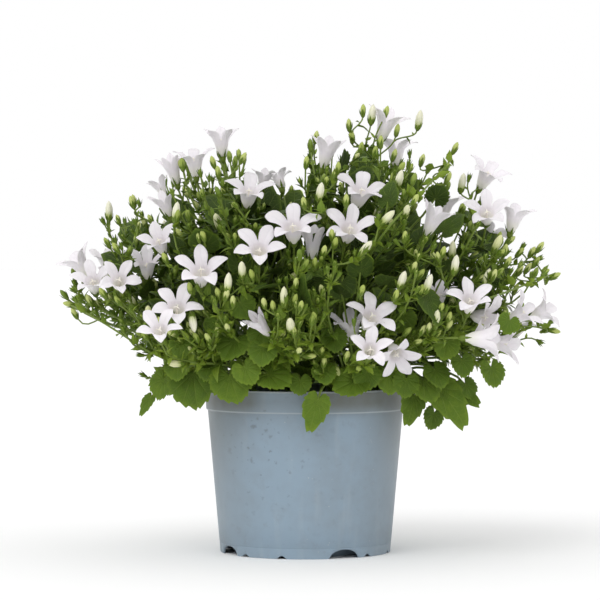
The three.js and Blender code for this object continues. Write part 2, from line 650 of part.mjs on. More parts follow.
leafPlaces.forEach(({ at, y, width, lean, dip, up }) => {
  const middle = spot(at, y);
  const tip = pictureAxis(lean, dip);
  const out = middle.clone().setZ(0).normalize().multiplyScalar(Math.cos(radians(up)));
  addLargeLeaf(middle, width, tip, out.addScaledVector(upwards, Math.sin(radians(up))));
});
for (let i = 0; i < backLeaves; i++) {
  const a = radians(4 + (172 * (i + 0.5)) / backLeaves);
  const reach = draw(68, 84);
  const middle = new THREE.Vector3(Math.cos(a) * reach, Math.sin(a) * reach, draw(88, 108));
  const out = new THREE.Vector3(Math.cos(a), Math.sin(a), 0);
  const tip = out.clone().multiplyScalar(0.6).addScaledVector(upwards, draw(-0.9, -0.4)).normalize();
  addLargeLeaf(middle, draw(17, 28), tip, out.addScaledVector(upwards, 0.7).normalize());
}

for (let i = 0; i < innerLeaves.count; i++) addInnerLeaf(i);

// Stem leaves stand round the bloom branches in whorls, each whorl one thin arched blade whose
// outline runs out along every leaf and back to the branch.
function whorlSolid(at, normal, first, lengths) {
  const side = new THREE.Vector3(Math.cos(first), Math.sin(first), 0).cross(normal).normalize();
  const other = normal.clone().cross(side);
  const outline = [];
  lengths.forEach((length, i) => {
    const step = 360 / lengths.length;
    const width = length * (stemLeaf.halfWidth / stemLeaf.length);
    const ahead = new THREE.Vector2(1, 0).rotateAround(new THREE.Vector2(), radians(i * step));
    const across = new THREE.Vector2(-ahead.y, ahead.x);
    const widest = stemLeaf.widest * length;
    [[widest, -width], [length, 0], [widest, width]].forEach(([run, aside]) => {
      outline.push([ahead.x * run + across.x * aside, ahead.y * run + across.y * aside]);
    });
    const notch = radians((i + 0.5) * step);
    outline.push([stemLeaf.notch * Math.cos(notch), stemLeaf.notch * Math.sin(notch)]);
  });
  const count = outline.length;
  const points = [leafThick / 2, -leafThick / 2].flatMap((half) => outline.map(([u, v]) => {
    const run = Math.hypot(u, v) / stemLeaf.length;
    const lift = stemLeaf.lift * stemLeaf.length * run * (1.1 - 0.8 * run) + half;
    return at.clone().addScaledVector(side, u).addScaledVector(other, v).addScaledVector(normal, lift);
  }));
  const triangles = [];
  const face = (a, b, c) => triangles.push(a, b, c, a + count, c + count, b + count);
  face(3, 7, 11);
  for (let i = 0; i < count; i += 4) {
    face((i + 11) % count, i, i + 2);
    face((i + 11) % count, i + 2, i + 3);
    face(i, i + 1, i + 2);
  }
  for (let i = 0; i < count; i++) {
    const next = (i + 1) % count;
    triangles.push(i, i + count, next + count, i, next + count, next);
  }
  return solidOf(points, triangles);
}

blooms.forEach((bloom, n) => {
  if (n % 3 === 2) return;
  const at = bloom.branch[2].clone().lerp(bloom.branch[3], 0.1 + 0.3 * (n % 2));
  const ahead = bloom.branch[3].clone().sub(at).normalize();
  const normal = ahead.addScaledVector(upwards, 0.5).normalize();
  const turn = draw(0, 2);
  const lengths = [0, 1, 2].map(() => stemLeaf.length * draw(0.8, 1.25));
  settle(bloom.stem, [bloom.piece.solid], 6, (i) => {
    return whorlSolid(at, normal, turn + 0.7 * i, lengths.map((length) => length * (1 - 0.05 * i)));
  }, true);
});

// The nodes: the pot, the soil, a spray for each main stem, and the blooms that stand on their own.
const numbered = (name, i) => `${name}_${String(i + 1).padStart(2, "0")}`;
addNode("pot", pot.solid, plastic);
addNode("soil", soilSolid(), earth);
stems.forEach((stem, i) => {
  let solids = placed.filter((piece) => piece.owner === stem).map((piece) => piece.solid);
  while (solids.length > 1) {
    const pairs = solids.filter((_, k) => k % 2 === 0).map((solid, k) => [solid, solids[2 * k + 1]]);
    solids = pairs.map(([one, two]) => (two ? one.add(two) : one));
  }
  addNode(numbered("spray", i), solids[0], leafGreen);
});
blooms.filter((bloom) => bloom.own).forEach((bloom, i) => {
  addNode(numbered("bloom", i), bloom.solid, petalWhite).applyMatrix4(bloom.place);
});

export default group;
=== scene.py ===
# A potted white bellflower: its pot, soil, stems, leaves, buds and flowers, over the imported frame.
# Numbers are millimetres, degrees and pixels of the photograph. Meshes are written in metres.
# The pot stands on z = 0 and the front of the plant is towards -Y.
import math

import bpy
import numpy as np
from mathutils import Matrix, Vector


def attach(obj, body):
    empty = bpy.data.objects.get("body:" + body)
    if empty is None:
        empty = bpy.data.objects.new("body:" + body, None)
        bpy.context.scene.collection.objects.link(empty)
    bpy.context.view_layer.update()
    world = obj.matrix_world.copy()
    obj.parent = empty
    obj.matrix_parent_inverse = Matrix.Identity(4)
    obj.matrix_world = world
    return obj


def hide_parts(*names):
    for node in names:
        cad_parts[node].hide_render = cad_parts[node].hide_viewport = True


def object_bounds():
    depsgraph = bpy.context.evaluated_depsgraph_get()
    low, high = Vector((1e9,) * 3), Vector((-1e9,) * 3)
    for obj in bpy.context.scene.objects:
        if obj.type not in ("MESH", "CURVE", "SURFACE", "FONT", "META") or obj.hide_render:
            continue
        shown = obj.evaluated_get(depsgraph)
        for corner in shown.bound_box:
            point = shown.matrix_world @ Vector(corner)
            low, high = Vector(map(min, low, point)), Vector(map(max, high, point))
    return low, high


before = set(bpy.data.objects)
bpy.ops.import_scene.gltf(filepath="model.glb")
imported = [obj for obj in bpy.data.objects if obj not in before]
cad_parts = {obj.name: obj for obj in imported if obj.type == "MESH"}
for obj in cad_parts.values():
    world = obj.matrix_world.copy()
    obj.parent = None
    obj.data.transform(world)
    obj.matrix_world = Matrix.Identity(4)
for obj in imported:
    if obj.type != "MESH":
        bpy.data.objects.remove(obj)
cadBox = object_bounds()
boxLow, boxHigh = (np.array(corner) * 1000 for corner in cadBox)
print("frame loaded:", len(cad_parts), "nodes")

up = np.array([0.0, 0.0, 1.0])
golden = 0.618

# camera, floor and light

view = {
    "place": (-3.2, -1780.0, 177.0),
    "pitch": 0.0151,  # radians below level
    "pixel": 3.357e-4,  # tangent of one pixel of the photograph
    "middle": 300.0,  # pixel at the middle of the photograph
    "sensor": 36.0,  # of the camera's own picture
    "farthest": 50.0,  # metres
}

studio = {
    "floorSize": 60.0,  # metres
    "floorColor": (0.96, 0.96, 0.96, 1),
    "floorRoughness": 0.9,
    "backdrop": 1.0,
    "skyStrength": 0.92,
    "key": {"turn": -30, "rise": 45, "strength": 0.85, "softness": 40},
    "fill": {"turn": 50, "rise": 20, "strength": 0.15, "softness": 60},
}


def addCamera():
    # the lens is the sensor's width over the picture's, as tangents
    data = bpy.data.cameras.new("camera")
    data.sensor_width = view["sensor"]
    data.lens = view["sensor"] / (2 * view["middle"] * view["pixel"])
    data.clip_end = view["farthest"]
    camera = bpy.data.objects.new("camera", data)
    camera.location = [c / 1000 for c in view["place"]]
    camera.rotation_euler = (math.pi / 2 - view["pitch"], 0, 0)
    bpy.context.scene.collection.objects.link(camera)
    bpy.context.scene.camera = camera


def addStudio():
    # a white floor, a white sky and two soft suns, turned round Z and raised above level
    half = studio["floorSize"] / 2
    mesh = bpy.data.meshes.new("floor")
    corners = [(-half, -half, 0), (half, -half, 0), (half, half, 0), (-half, half, 0)]
    mesh.from_pydata(corners, [], [(0, 1, 2, 3)])
    floor = bpy.data.objects.new("floor", mesh)
    bpy.context.scene.collection.objects.link(floor)
    material = bpy.data.materials.new("floorPaint")
    material.use_nodes = True
    shader = material.node_tree.nodes["Principled BSDF"]
    shader.inputs["Base Color"].default_value = studio["floorColor"]
    shader.inputs["Roughness"].default_value = studio["floorRoughness"]
    mesh.materials.append(material)
    # the sky lights the scene by its strength, and the camera sees the paler backdrop
    world = bpy.data.worlds.new("sky")
    world.use_nodes = True
    tree = world.node_tree
    sky = tree.nodes["Background"]
    sky.inputs["Color"].default_value = (1, 1, 1, 1)
    sky.inputs["Strength"].default_value = studio["skyStrength"]
    backdrop = tree.nodes.new("ShaderNodeBackground")
    backdrop.inputs["Color"].default_value = (1, 1, 1, 1)
    backdrop.inputs["Strength"].default_value = studio["backdrop"]
    seen = tree.nodes.new("ShaderNodeLightPath")
    both = tree.nodes.new("ShaderNodeMixShader")
    tree.links.new(seen.outputs["Is Camera Ray"], both.inputs[0])
    tree.links.new(sky.outputs[0], both.inputs[1])
    tree.links.new(backdrop.outputs[0], both.inputs[2])
    tree.links.new(both.outputs[0], tree.nodes["World Output"].inputs["Surface"])
    bpy.context.scene.world = world
    bpy.context.scene.view_settings.view_transform = "Standard"
    for name in ("key", "fill"):
        lamp = studio[name]
        data = bpy.data.lights.new(name, "SUN")
        data.energy = lamp["strength"]
        data.angle = math.radians(lamp["softness"])
        light = bpy.data.objects.new(name, data)
        light.rotation_euler = (math.radians(90 - lamp["rise"]), 0, math.radians(lamp["turn"]))
        bpy.context.scene.collection.objects.link(light)


# vectors and places


def unit(v):
    # each vector divided by its own length
    v = np.asarray(v, float)
    return v / np.maximum(np.linalg.norm(v, axis=-1, keepdims=True), 1e-9)


def mix(a, b, share):
    # a at share 0, b at share 1
    return a + (b - a) * share


def smooth(x):
    # 0 to 1 with level ends: 3x^2 - 2x^3
    x = np.clip(x, 0, 1)
    return x * x * (3 - 2 * x)


def spot(at, y):
    # the point that the photograph shows at a pixel, at depth y
    reach = y - view["place"][1]
    across = (at[0] - view["middle"]) * view["pixel"]
    down = view["pitch"] + (at[1] - view["middle"]) * view["pixel"]
    return np.array([view["place"][0] + across * reach, y, view["place"][2] - down * reach])


def pixelOf(points):
    # the pixel at which the photograph shows each point
    points = np.asarray(points, float)
    reach = points[..., 1] - view["place"][1]
    px = view["middle"] + (points[..., 0] - view["place"][0]) / (reach * view["pixel"])
    py = view["middle"] + ((view["place"][2] - points[..., 2]) / reach - view["pitch"]) / view["pixel"]
    return px, py


def pictureAxis(lean, face):
    # a direction that leans in the picture plane and turns towards the viewer
    a, b = math.radians(lean), math.radians(face)
    return np.array([math.sin(a) * math.cos(b), -math.sin(b), math.cos(a) * math.cos(b)])


# the outer surface of the plant: half an ellipsoid over another, about a middle height
mound = {
    "x": 152.0,
    "y": 115.0,
    "middle": 150.0,
    "up": 110.0,
    "down": 60.0,
    "crown": (0, 0, 60),  # where the stems' lines meet, in the soil
    "firstDepth": -80.0,
    "rounds": 6,  # steps towards the depth at a pixel
}
crown = np.array(mound["crown"], float)


def moundShare(points):
    # how far out each point is: 0 at the mound's middle, 1 on its surface
    points = np.asarray(points, float)
    height = np.where(points[..., 2] > mound["middle"], mound["up"], mound["down"])
    flat = (points[..., 0] / mound["x"]) ** 2 + (points[..., 1] / mound["y"]) ** 2
    return np.sqrt(flat + ((points[..., 2] - mound["middle"]) / height) ** 2)


def moundDepth(at, share):
    # depth of the mound's front surface at a pixel, on the mound shrunk to a share
    y = mound["firstDepth"]
    for _ in range(mound["rounds"]):
        p = spot(at, y)
        height = mound["up"] if p[2] > mound["middle"] else mound["down"]
        rest = 1 - (p[0] / (mound["x"] * share)) ** 2 - ((p[2] - mound["middle"]) / (height * share)) ** 2
        y = -mound["y"] * share * math.sqrt(max(rest, 0))
    return y


def moundPoint(turn, rise, share):
    # the point of the shrunk mound at a turn round Z and a rise above its middle
    a, b = math.radians(turn), math.radians(rise)
    height = mound["up"] if rise > 0 else mound["down"]
    x = share * mound["x"] * math.cos(a) * math.cos(b)
    y = share * mound["y"] * math.sin(a) * math.cos(b)
    return np.array([x, y, mound["middle"] + share * height * math.sin(b)])


def seededDraws(seed):
    # the draws of the part's source: a linear congruential step, scaled to a range
    state, factor, step, period = [seed], 1664525, 1013904223, 2**32

    def draw(low, high):
        state[0] = (state[0] * factor + step) % period
        return low + (high - low) * state[0] / period

    return draw


draw = seededDraws(11)
rng = np.random.default_rng(5)
anyTurn = 6.28  # end of the range of random turns, in radians
goldenTurn = 2.4  # radians from one leaf of a branch to the next

# what the photograph shows: blooms, buds, large leaves and the outline of the foliage

# pixel of the mouth, depth, lean in the picture, turn to the viewer, openness, turn of the first lobe, size
bloomPlaces = [
    (221, 138, 0, -5, 5, 0.55, 0, 0.82), (194, 158, -16, -6, 12, 0.85, 0, 0.85),
    (172, 166, 3, -15, 10, 0.3, 0, 0.8), (163, 199, -22, -20, 15, 0.5, 0, 0.72),
    (249, 191, -45, 8, 35, 0.9, 0, 0.94), (293, 227, -78, -3, 40, 1, 5, 1),
    (259, 248, -90, 0, 50, 1, 30, 0.92), (201, 271, -85, 0, 42, 1, 0, 0.98),
    (158, 239, -50, -20, 40, 0.8, 0, 0.8), (177, 306, -86, 6, 50, 1, 24, 0.9),
    (159, 327, -100, -5, 48, 1, 33, 0.82), (119, 278, -55, 10, 58, 0.95, 20, 0.8),
    (92, 279, -33, -10, 45, 0.9, 0, 0.85), (78, 262, -8, -35, 10, 0.6, 0, 0.88),
    (108, 260, 10, 0, 20, 0.7, 0, 0.85), (147, 262, -20, 0, 30, 0.7, 0, 0.85),
    (327, 150, -10, 13, 5, 0.4, 0, 0.88), (361, 192, -50, 20, 32, 1, -12, 1),
    (350, 228, -75, 15, 45, 1, -3, 0.97), (313, 240, -60, 3, 5, 0.35, 0, 0.9),
    (386, 123, 5, 18, 10, 0.6, 0, 0.95), (434, 218, -45, 25, 5, 0.45, 0, 0.88),
    (445, 203, 15, 10, 10, 0.6, 0, 0.88), (488, 173, 0, 28, 25, 0.9, 0, 0.9),
    (487, 211, -25, 0, 50, 0.9, 0, 0.88), (515, 214, -3, 14, 5, 0.75, 0, 0.86),
    (372, 316, -86, 25, 42, 1, -31, 0.97), (371, 347, -104, 10, 58, 0.95, -7, 0.8),
    (350, 325, -60, -8, 15, 0.8, 0, 0.95), (398, 357, -82, 150, 50, 0.9, 0, 0.84),
    (471, 298, -78, 10, 42, 0.95, -22, 0.88), (487, 318, -60, 100, 40, 0.9, 0, 0.9),
    (485, 339, -76, 92, 5, 0.7, 0, 1), (507, 344, -50, 95, 20, 0.7, 0, 0.88),
    (547, 310, -20, 65, 15, 0.9, 0, 0.82), (265, 172, 28, 10, 5, 0.6, 0, 0.62),
    (258, 322, -86, -40, 30, 0.15, 0, 0.75), (440, 290, -45, 5, 25, 0.7, 0, 0.7),
    (524, 312, -38, 55, 20, 0.7, 0, 0.85),
]

# pixel of the middle, size from 0 to 2, and lean where the photograph shows one
budPlaces = [
    (109, 211, 2, 0), (132, 202, 1), (116, 248, 1), (176, 212, 2, 10), (165, 258, 1), (69, 304, 1, -80),
    (89, 300, 1), (213, 162, 1), (218, 172, 1), (243, 158, 1, 30), (203, 235, 1), (242, 270, 2),
    (228, 283, 2, 5), (208, 338, 1), (193, 322, 2, 170), (316, 137, 1), (320, 192, 2), (338, 168, 1),
    (349, 125, 1), (363, 109, 1), (372, 101, 2), (346, 200, 1), (324, 251, 1), (365, 249, 2, 40),
    (284, 297, 2, 0), (296, 283, 1), (264, 303, 1), (310, 356, 1, 90), (387, 218, 2, 45), (397, 130, 1),
    (419, 120, 2, 10), (455, 148, 1), (448, 178, 1), (462, 183, 2, 10), (422, 160, 1),
    (399, 180, 2, 15), (443, 252, 1), (455, 265, 2, 10), (402, 280, 2), (428, 284, 2, 20),
    (396, 295, 1), (436, 320, 2, 10), (347, 356, 1), (385, 377, 1, 95), (540, 247, 1), (528, 268, 1),
    (556, 276, 1, 60), (557, 331, 1, 100),
]

smallBudPlaces = [
    (103, 221, 0), (135, 222, 0), (181, 165, 1), (218, 293, 1), (252, 275, 1), (304, 203, 1),
    (352, 137, 1), (361, 148, 1), (273, 306, 1), (314, 317, 1), (324, 362, 1), (414, 267, 1),
    (423, 330, 1), (449, 317, 1), (508, 262, 1), (540, 342, 0, 120), (143, 375, 0, -60), (122, 322, 0),
    (337, 370, 1, 160), (119, 223, 0), (103, 293, 1), (190, 288, 1), (233, 301, 1), (375, 152, 1),
    (335, 243, 1), (300, 322, 1, 20), (405, 237, 1), (96, 313, 0), (520, 252, 1), (139, 203, 0),
    (121, 246, 0), (198, 288, 0), (386, 112, 1), (332, 235, 1), (303, 250, 0), (355, 253, 0),
    (315, 263, 1), (335, 264, 0), (279, 282, 0), (295, 300, 1, 15), (266, 315, 0), (362, 290, 1),
    (469, 178, 0), (394, 155, 1), (404, 222, 0), (434, 247, 0), (421, 290, 1), (441, 308, 1),
    (449, 325, 1), (354, 322, 0, 0), (383, 327, 0), (375, 387, 0, 165), (478, 327, 1, 70),
    (540, 308, 1, 50), (547, 280, 0, 15), (505, 250, 1, 15), (532, 252, 1, 30), (523, 246, 0),
    (536, 262, 1), (494, 275, 1, 20), (514, 280, 0), (497, 244, 2, 25), (532, 282, 0, 20),
    (544, 331, 0, 70), (529, 327, 0, 60), (520, 270, 1, 25),
]

# pixel of the middle, depth, width, lean of the tip, dip of the tip to the viewer, upwards turn
leafPlaces = [
    (195, 393, -48, 31, 175, 25, 25), (160, 391, -34, 18, 200, 10, 30),
    (235, 391, -66, 24, 160, 20, 35), (228, 351, -72, 20, 215, 25, 30),
    (262, 358, -80, 17, 190, 30, 40), (281, 379, -71, 21, 110, 20, 45),
    (343, 386, -68, 21, 250, 25, 45), (315, 411, -71, 16.5, 195, 5, 10, 1.2),
    (245, 312, -78, 16, 150, 30, 35), (358, 270, -50, 18, 20, 30, 50), (472, 257, -30, 20, 60, 35, 65),
    (507, 328, -66, 13, 200, 30, 40), (494, 379, -42, 17, 165, 15, 20),
    (450, 402, -40, 25, 140, 10, 12, 1.12), (412, 407, -38, 17, 190, 15, 15, 1.1),
    (432, 423, -22, 14, 190, 10, 15), (344, 158, 5, 17, 20, 20, 50), (410, 180, -15, 16, 40, 20, 40),
]

# four pixels along each bare stem
stemPlaces = [
    ((150, 352), (128, 340), (100, 318), (70, 305)), ((212, 350), (200, 364), (184, 373), (160, 371)),
    ((402, 212), (418, 196), (436, 178), (451, 160)), ((492, 297), (514, 290), (540, 278), (556, 273)),
]

# smaller leaves between them, given in the same way
moreLeafPlaces = [
    (147, 403, -30, 9, 215, 10, 10, 1.4), (430, 393, -46, 20, 150, 15, 15),
    (463, 395, -30, 17, 110, 15, 20, 1.1), (250, 377, -76, 16, 150, 20, 40),
    (207, 373, -60, 17, 200, 20, 50), (177, 373, -50, 16, 185, 20, 45),
    (300, 389, -66, 13, 180, 25, 40), (325, 378, -70, 14, 170, 35, 50),
    (365, 383, -66, 16, 190, 20, 35), (390, 386, -55, 17, 170, 15, 30),
    (405, 390, -52, 16, 185, 15, 25), (440, 380, -50, 17, 150, 20, 30),
    (470, 393, -30, 14, 150, 10, 20), (308, 312, -70, 18, 160, 25, 40),
    (340, 293, -62, 18, 190, 25, 45), (440, 190, -5, 15, 30, 15, 40), (258, 340, -74, 15, 200, 30, 40),
    (335, 345, -70, 15, 170, 30, 40), (400, 325, -66, 16, 200, 25, 40),
    (415, 348, -66, 15, 170, 25, 40), (445, 352, -60, 16, 190, 20, 35),
    (463, 370, -50, 15, 170, 20, 30), (215, 330, -76, 14, 190, 30, 40),
    (180, 352, -66, 15, 190, 25, 40), (290, 350, -78, 15, 170, 30, 35),
]

# columns of the photograph, with the rows between which the foliage stays
outline = np.array([
    (56, 268, 300), (72, 262, 308), (84, 258, 312), (97, 222, 318), (108, 206, 328), (122, 216, 342),
    (133, 197, 368), (150, 200, 402), (166, 178, 405), (180, 156, 411), (192, 160, 417),
    (206, 160, 413), (220, 150, 408), (232, 152, 402), (246, 156, 398), (262, 168, 392),
    (288, 172, 390), (302, 168, 392), (312, 135, 395), (326, 146, 396), (340, 140, 396),
    (349, 122, 396), (361, 104, 392), (372, 97, 390), (385, 106, 388), (398, 124, 390), (414, 118, 420),
    (424, 130, 426), (436, 160, 430), (448, 150, 427), (456, 144, 428), (468, 174, 424),
    (482, 180, 392), (494, 192, 390), (506, 215, 384), (516, 232, 356), (528, 245, 348),
    (542, 244, 345), (552, 272, 340), (564, 272, 300),
])


def insideOutline(points, spare=0.0):
    # True where a point is seen inside the outline by some pixels
    px, py = pixelOf(points)
    top = np.interp(px, outline[:, 0], outline[:, 1])
    bottom = np.interp(px, outline[:, 0], outline[:, 2])
    wide = (px > outline[0, 0] + spare) & (px < outline[-1, 0] - spare)
    return wide & (py > top + spare) & (py < bottom - spare)


def underTop(points, room):
    # True where a point stays below the foliage's upper outline by some pixels
    px, py = pixelOf(points)
    return py > np.interp(px, outline[:, 0], outline[:, 1]) + room


# middles and radii in pixels of the places where the photograph shows white through the foliage
gapPlaces = np.array([
    (188, 202, 13), (166, 222, 11), (105, 322, 22), (95, 238, 15), (128, 310, 16), (297, 178, 12),
    (422, 166, 18), (425, 205, 16), (385, 150, 15), (345, 150, 14), (520, 258, 18), (500, 225, 14),
    (545, 292, 22), (522, 292, 14), (455, 235, 10), (165, 275, 10), (398, 240, 8), (548, 335, 18),
    (216, 190, 9), (204, 215, 8),
])


def inGaps(points):
    # True where a point is seen in one of those places
    px, py = pixelOf(points)
    away = (px[..., None] - gapPlaces[:, 0]) ** 2 + (py[..., None] - gapPlaces[:, 1]) ** 2
    return np.any(away < gapPlaces[:, 2] ** 2, axis=-1)


def insideBox(points, spare=0.5):
    # True where a point is inside the box of the solids by some millimetres
    points = np.asarray(points)
    return np.all((points > boxLow + spare) & (points < boxHigh - spare), axis=-1)


# the plan of the plant, by the rules of the part's source

stemPlan = {
    "rings": [(7, 40, 25), (4, 68, 45)],  # stems, rise, first turn
    "hubShare": 0.55,  # of the way to the mound's surface
    "soilTop": 90.0,
    "footDepth": 10.0,
    "rise": 3.0,  # of the middle above a straight line
    "radii": (1.7, 1.2),  # at the foot and at the hub
    "longest": 260,
    "steps": 2601,
}


def planStems():
    # each stem leaves the crown along its own line, from its foot under the soil to its hub
    stems = []
    reach = np.linspace(0, stemPlan["longest"], stemPlan["steps"])
    for count, rise, turn in stemPlan["rings"]:
        for i in range(count):
            a, b = math.radians(turn + 360 * i / count - 90), math.radians(rise)
            way = np.array([math.cos(a) * math.cos(b), math.sin(a) * math.cos(b), math.sin(b)])
            near = reach[moundShare(crown + way * reach[:, None]) < 1].max()
            hub = crown + way * near * stemPlan["hubShare"]
            foot = crown + way * ((stemPlan["soilTop"] - stemPlan["footDepth"] - crown[2]) / way[2])
            bend = mix(foot, hub, 0.5) + up * stemPlan["rise"]
            middle = 0.25 * foot + 0.5 * bend + 0.25 * hub
            stems.append({"way": way, "hub": hub, "foot": foot, "bend": bend, "middle": middle})
    return stems


stems = planStems()
ways = np.array([stem["way"] for stem in stems])


def nearestStem(point):
    # the stem whose line points most nearly at a place
    return int(np.argmax(ways @ unit(point - crown)))


bell = {
    "length": 12.0,  # of the tube
    "base": 1.9,
    "mouth": 5.8,
    "lobe": 12.9,
    "halfWidth": 4.5,
    "thick": 0.45,
    "ownNodes": 47,  # the blooms past them stand for a part of their spray
    "backBlooms": 11,
    "backTurns": (8, 164),  # first turn, and all turns
    "backRises": (-18, 84),
    "backShares": (0.86, 0.95),
    "backSizes": (0.88, 0.6),  # below the mound's upper edge, and at it
    "faceAhead": 4,  # of the middle of the lobes before the mouth
    "edgeRoom": 16,  # pixels
}


def planBlooms():
    # the blooms of the list, and behind them a spiral of others up the mound's back
    blooms = []
    for px, py, y, lean, face, openness, turn, size in bloomPlaces:
        axis = pictureAxis(lean, face)
        first = pictureAxis(lean, face - 90)
        a = -math.radians(turn)
        first = first * math.cos(a) + np.cross(axis, first) * math.sin(a)
        mouth = spot((px, py), y)
        blooms.append({"mouth": mouth, "axis": axis, "first": first, "open": openness, "size": size})
    firstTurn, turns = bell["backTurns"]
    lowest, rises = bell["backRises"]
    for i in range(bell["backBlooms"]):
        turn = firstTurn + turns * ((i * golden) % 1) + draw(-6, 6)
        mouth = moundPoint(turn, lowest + rises * (i + 0.5) / bell["backBlooms"], draw(*bell["backShares"]))
        axis = unit(mouth - crown) * 0.8
        axis = unit(axis + np.array([draw(-0.3, 0.3), draw(-0.2, 0.3), draw(0.2, 0.7)]))
        first = unit(np.cross(axis, [1.0, 0, 0]))
        low, high = bell["backSizes"]
        size = low if underTop((mouth + axis * bell["faceAhead"])[None], bell["edgeRoom"])[0] else high
        blooms.append({"mouth": mouth, "axis": axis, "first": first, "open": draw(0.5, 1), "size": size})
    for i, bloom in enumerate(blooms):
        bloom["base"] = bloom["mouth"] - bloom["axis"] * bell["length"]
        bloom["stem"] = nearestStem(bloom["base"])
        bloom["own"] = i < bell["ownNodes"]
    return blooms


blooms = planBlooms()
mouths = np.array([bloom["mouth"] for bloom in blooms])
axes = np.array([bloom["axis"] for bloom in blooms])
opens = np.array([bloom["open"] for bloom in blooms])
faceCentres = mouths + axes * bell["faceAhead"]

# room round each bloom, from its axis and along it
room = {"tube": 6, "lobes": 16, "lobesStart": -3, "lobesEnd": 6}


def inBlooms(points, spare, skip=-1):
    # (points, blooms): True where a point is in the room of a bloom's tube and lobes
    away = np.asarray(points)[:, None] - mouths
    along = np.einsum("nbk,bk->nb", away, axes)
    out = np.sqrt(np.maximum((away**2).sum(-1) - along**2, 0))
    near = out < np.where(along < room["lobesStart"], room["tube"], room["lobes"]) + spare
    hit = (along > -bell["length"] - spare) & (along < room["lobesEnd"] + spare) & near
    if skip >= 0:
        hit[:, skip] = False
    return hit


sight = {
    "hiddenBlooms": (3, 14, 15, 35, 37, 38),  # rows of those that leaves and buds half hide
    "clearLeaves": (0, 2, 3, 4, 5, 6, 7),  # rows of those that nothing stands before
    "closed": 12,  # radius in pixels round a closed bloom, and added to it when it opens
    "hidden": 5,
    "leafShare": 0.45,  # of a leaf's width
    "pixel": 0.6,  # millimetres
    "bloomAhead": 5,
    "leafAhead": 4,
}


def inSight():
    # middle and radius in pixels, and depth, of each bloom and leaf that stays in sight
    count = len(bloomPlaces)
    px, py = pixelOf(faceCentres[:count])
    clear = sight["closed"] + sight["closed"] * opens[:count]
    clear[list(sight["hiddenBlooms"])] = sight["hidden"]
    rows = [np.column_stack([px, py, clear, mouths[:count, 1] + sight["bloomAhead"]])]
    for i in sight["clearLeaves"]:
        px, py, y, width = leafPlaces[i][:4]
        clear = sight["leafShare"] * width / sight["pixel"]
        rows.append(np.array([[px, py, clear, y + sight["leafAhead"]]]))
    return np.concatenate(rows)


sights = inSight()


def hidesBloom(points, spare=0.0):
    # True where a point stands before one of the things that stay in sight
    px, py = pixelOf(points)
    away = (px[:, None] - sights[:, 0]) ** 2 + (py[:, None] - sights[:, 1]) ** 2
    near = away < (sights[:, 2] + spare) ** 2
    return np.any(near & (np.asarray(points)[:, None, 1] < sights[:, 3]), axis=1)


def bezier(controls, steps):
    # cubic curves (n, 4, 3) as points (n, steps, 3)
    t = np.linspace(0, 1, steps)
    weights = np.stack([(1 - t) ** 3, 3 * t * (1 - t) ** 2, 3 * t * t * (1 - t), t**3])
    return np.einsum("ks,nkc->nsc", weights, np.asarray(controls, float))


def branchControls(start, base, axis, bow):
    # a side branch that rises from its stem, bows sideways and arrives along an axis
    reach = np.linalg.norm(base - start)
    side = unit(np.cross(base - start, up))
    first = mix(start, base, 0.35) + up * 0.1 * reach + side * bow
    second = base - axis * 0.35 * reach + side * bow * 0.6
    return np.array([start, first, second, base])


def clearBow(start, base, axis, skip):
    # the least bow with which a branch passes no other bloom
    for bow in (0, 7, -7, 14, -14, 21, -21):
        path = bezier([branchControls(start, base, axis, bow)], 24)[0][4:23]
        if not inBlooms(path, 1, skip).any():
            return bow
    return 0


# shapes made of arrays


def newShape():
    # arrays of points and triangles, one for each element added
    return {"points": [], "triangles": [], "form": [], "finish": [], "count": 0}


def addTo(shape, points, triangles, form, finish):
    # form holds, for each point, its place across and along its own element, and that element's tone
    points = points.reshape(-1, 3)
    shape["points"].append(points)
    shape["triangles"].append(triangles.reshape(-1, 3) + shape["count"])
    shape["form"].append(np.asarray(form).reshape(-1, 3))
    shape["finish"].append(np.full(len(shape["triangles"][-1]), finish))
    shape["count"] += len(points)


def gridTriangles(rows, columns, closed=False):
    # two triangles for each cell of a grid, whose last column may meet its first
    r, c = np.meshgrid(np.arange(rows - 1), np.arange(columns - (not closed)), indexing="ij")
    a = (r * columns + c).ravel()
    b = (r * columns + (c + 1) % columns).ravel()
    return np.concatenate([np.stack([a, b, b + columns], 1), np.stack([a, b + columns, a + columns], 1)])


def welded(points, triangles):
    # points at the same place become one. Triangles that lose a side are dropped, and so are
    # both of a pair that fall together.
    _, kept, back = np.unique(np.round(points, 4), axis=0, return_index=True, return_inverse=True)
    triangles = back.reshape(-1)[triangles]
    a, b, c = triangles.T
    triangles = triangles[(a != b) & (b != c) & (a != c)]
    _, which, times = np.unique(np.sort(triangles, axis=1), axis=0, return_inverse=True, return_counts=True)
    return kept, triangles[times[which.reshape(-1)] == 1]


def copies(triangles, count, step):
    # the triangles of one element, once for each of its copies
    return (triangles[None] + np.arange(count)[:, None, None] * step).reshape(-1, 3)


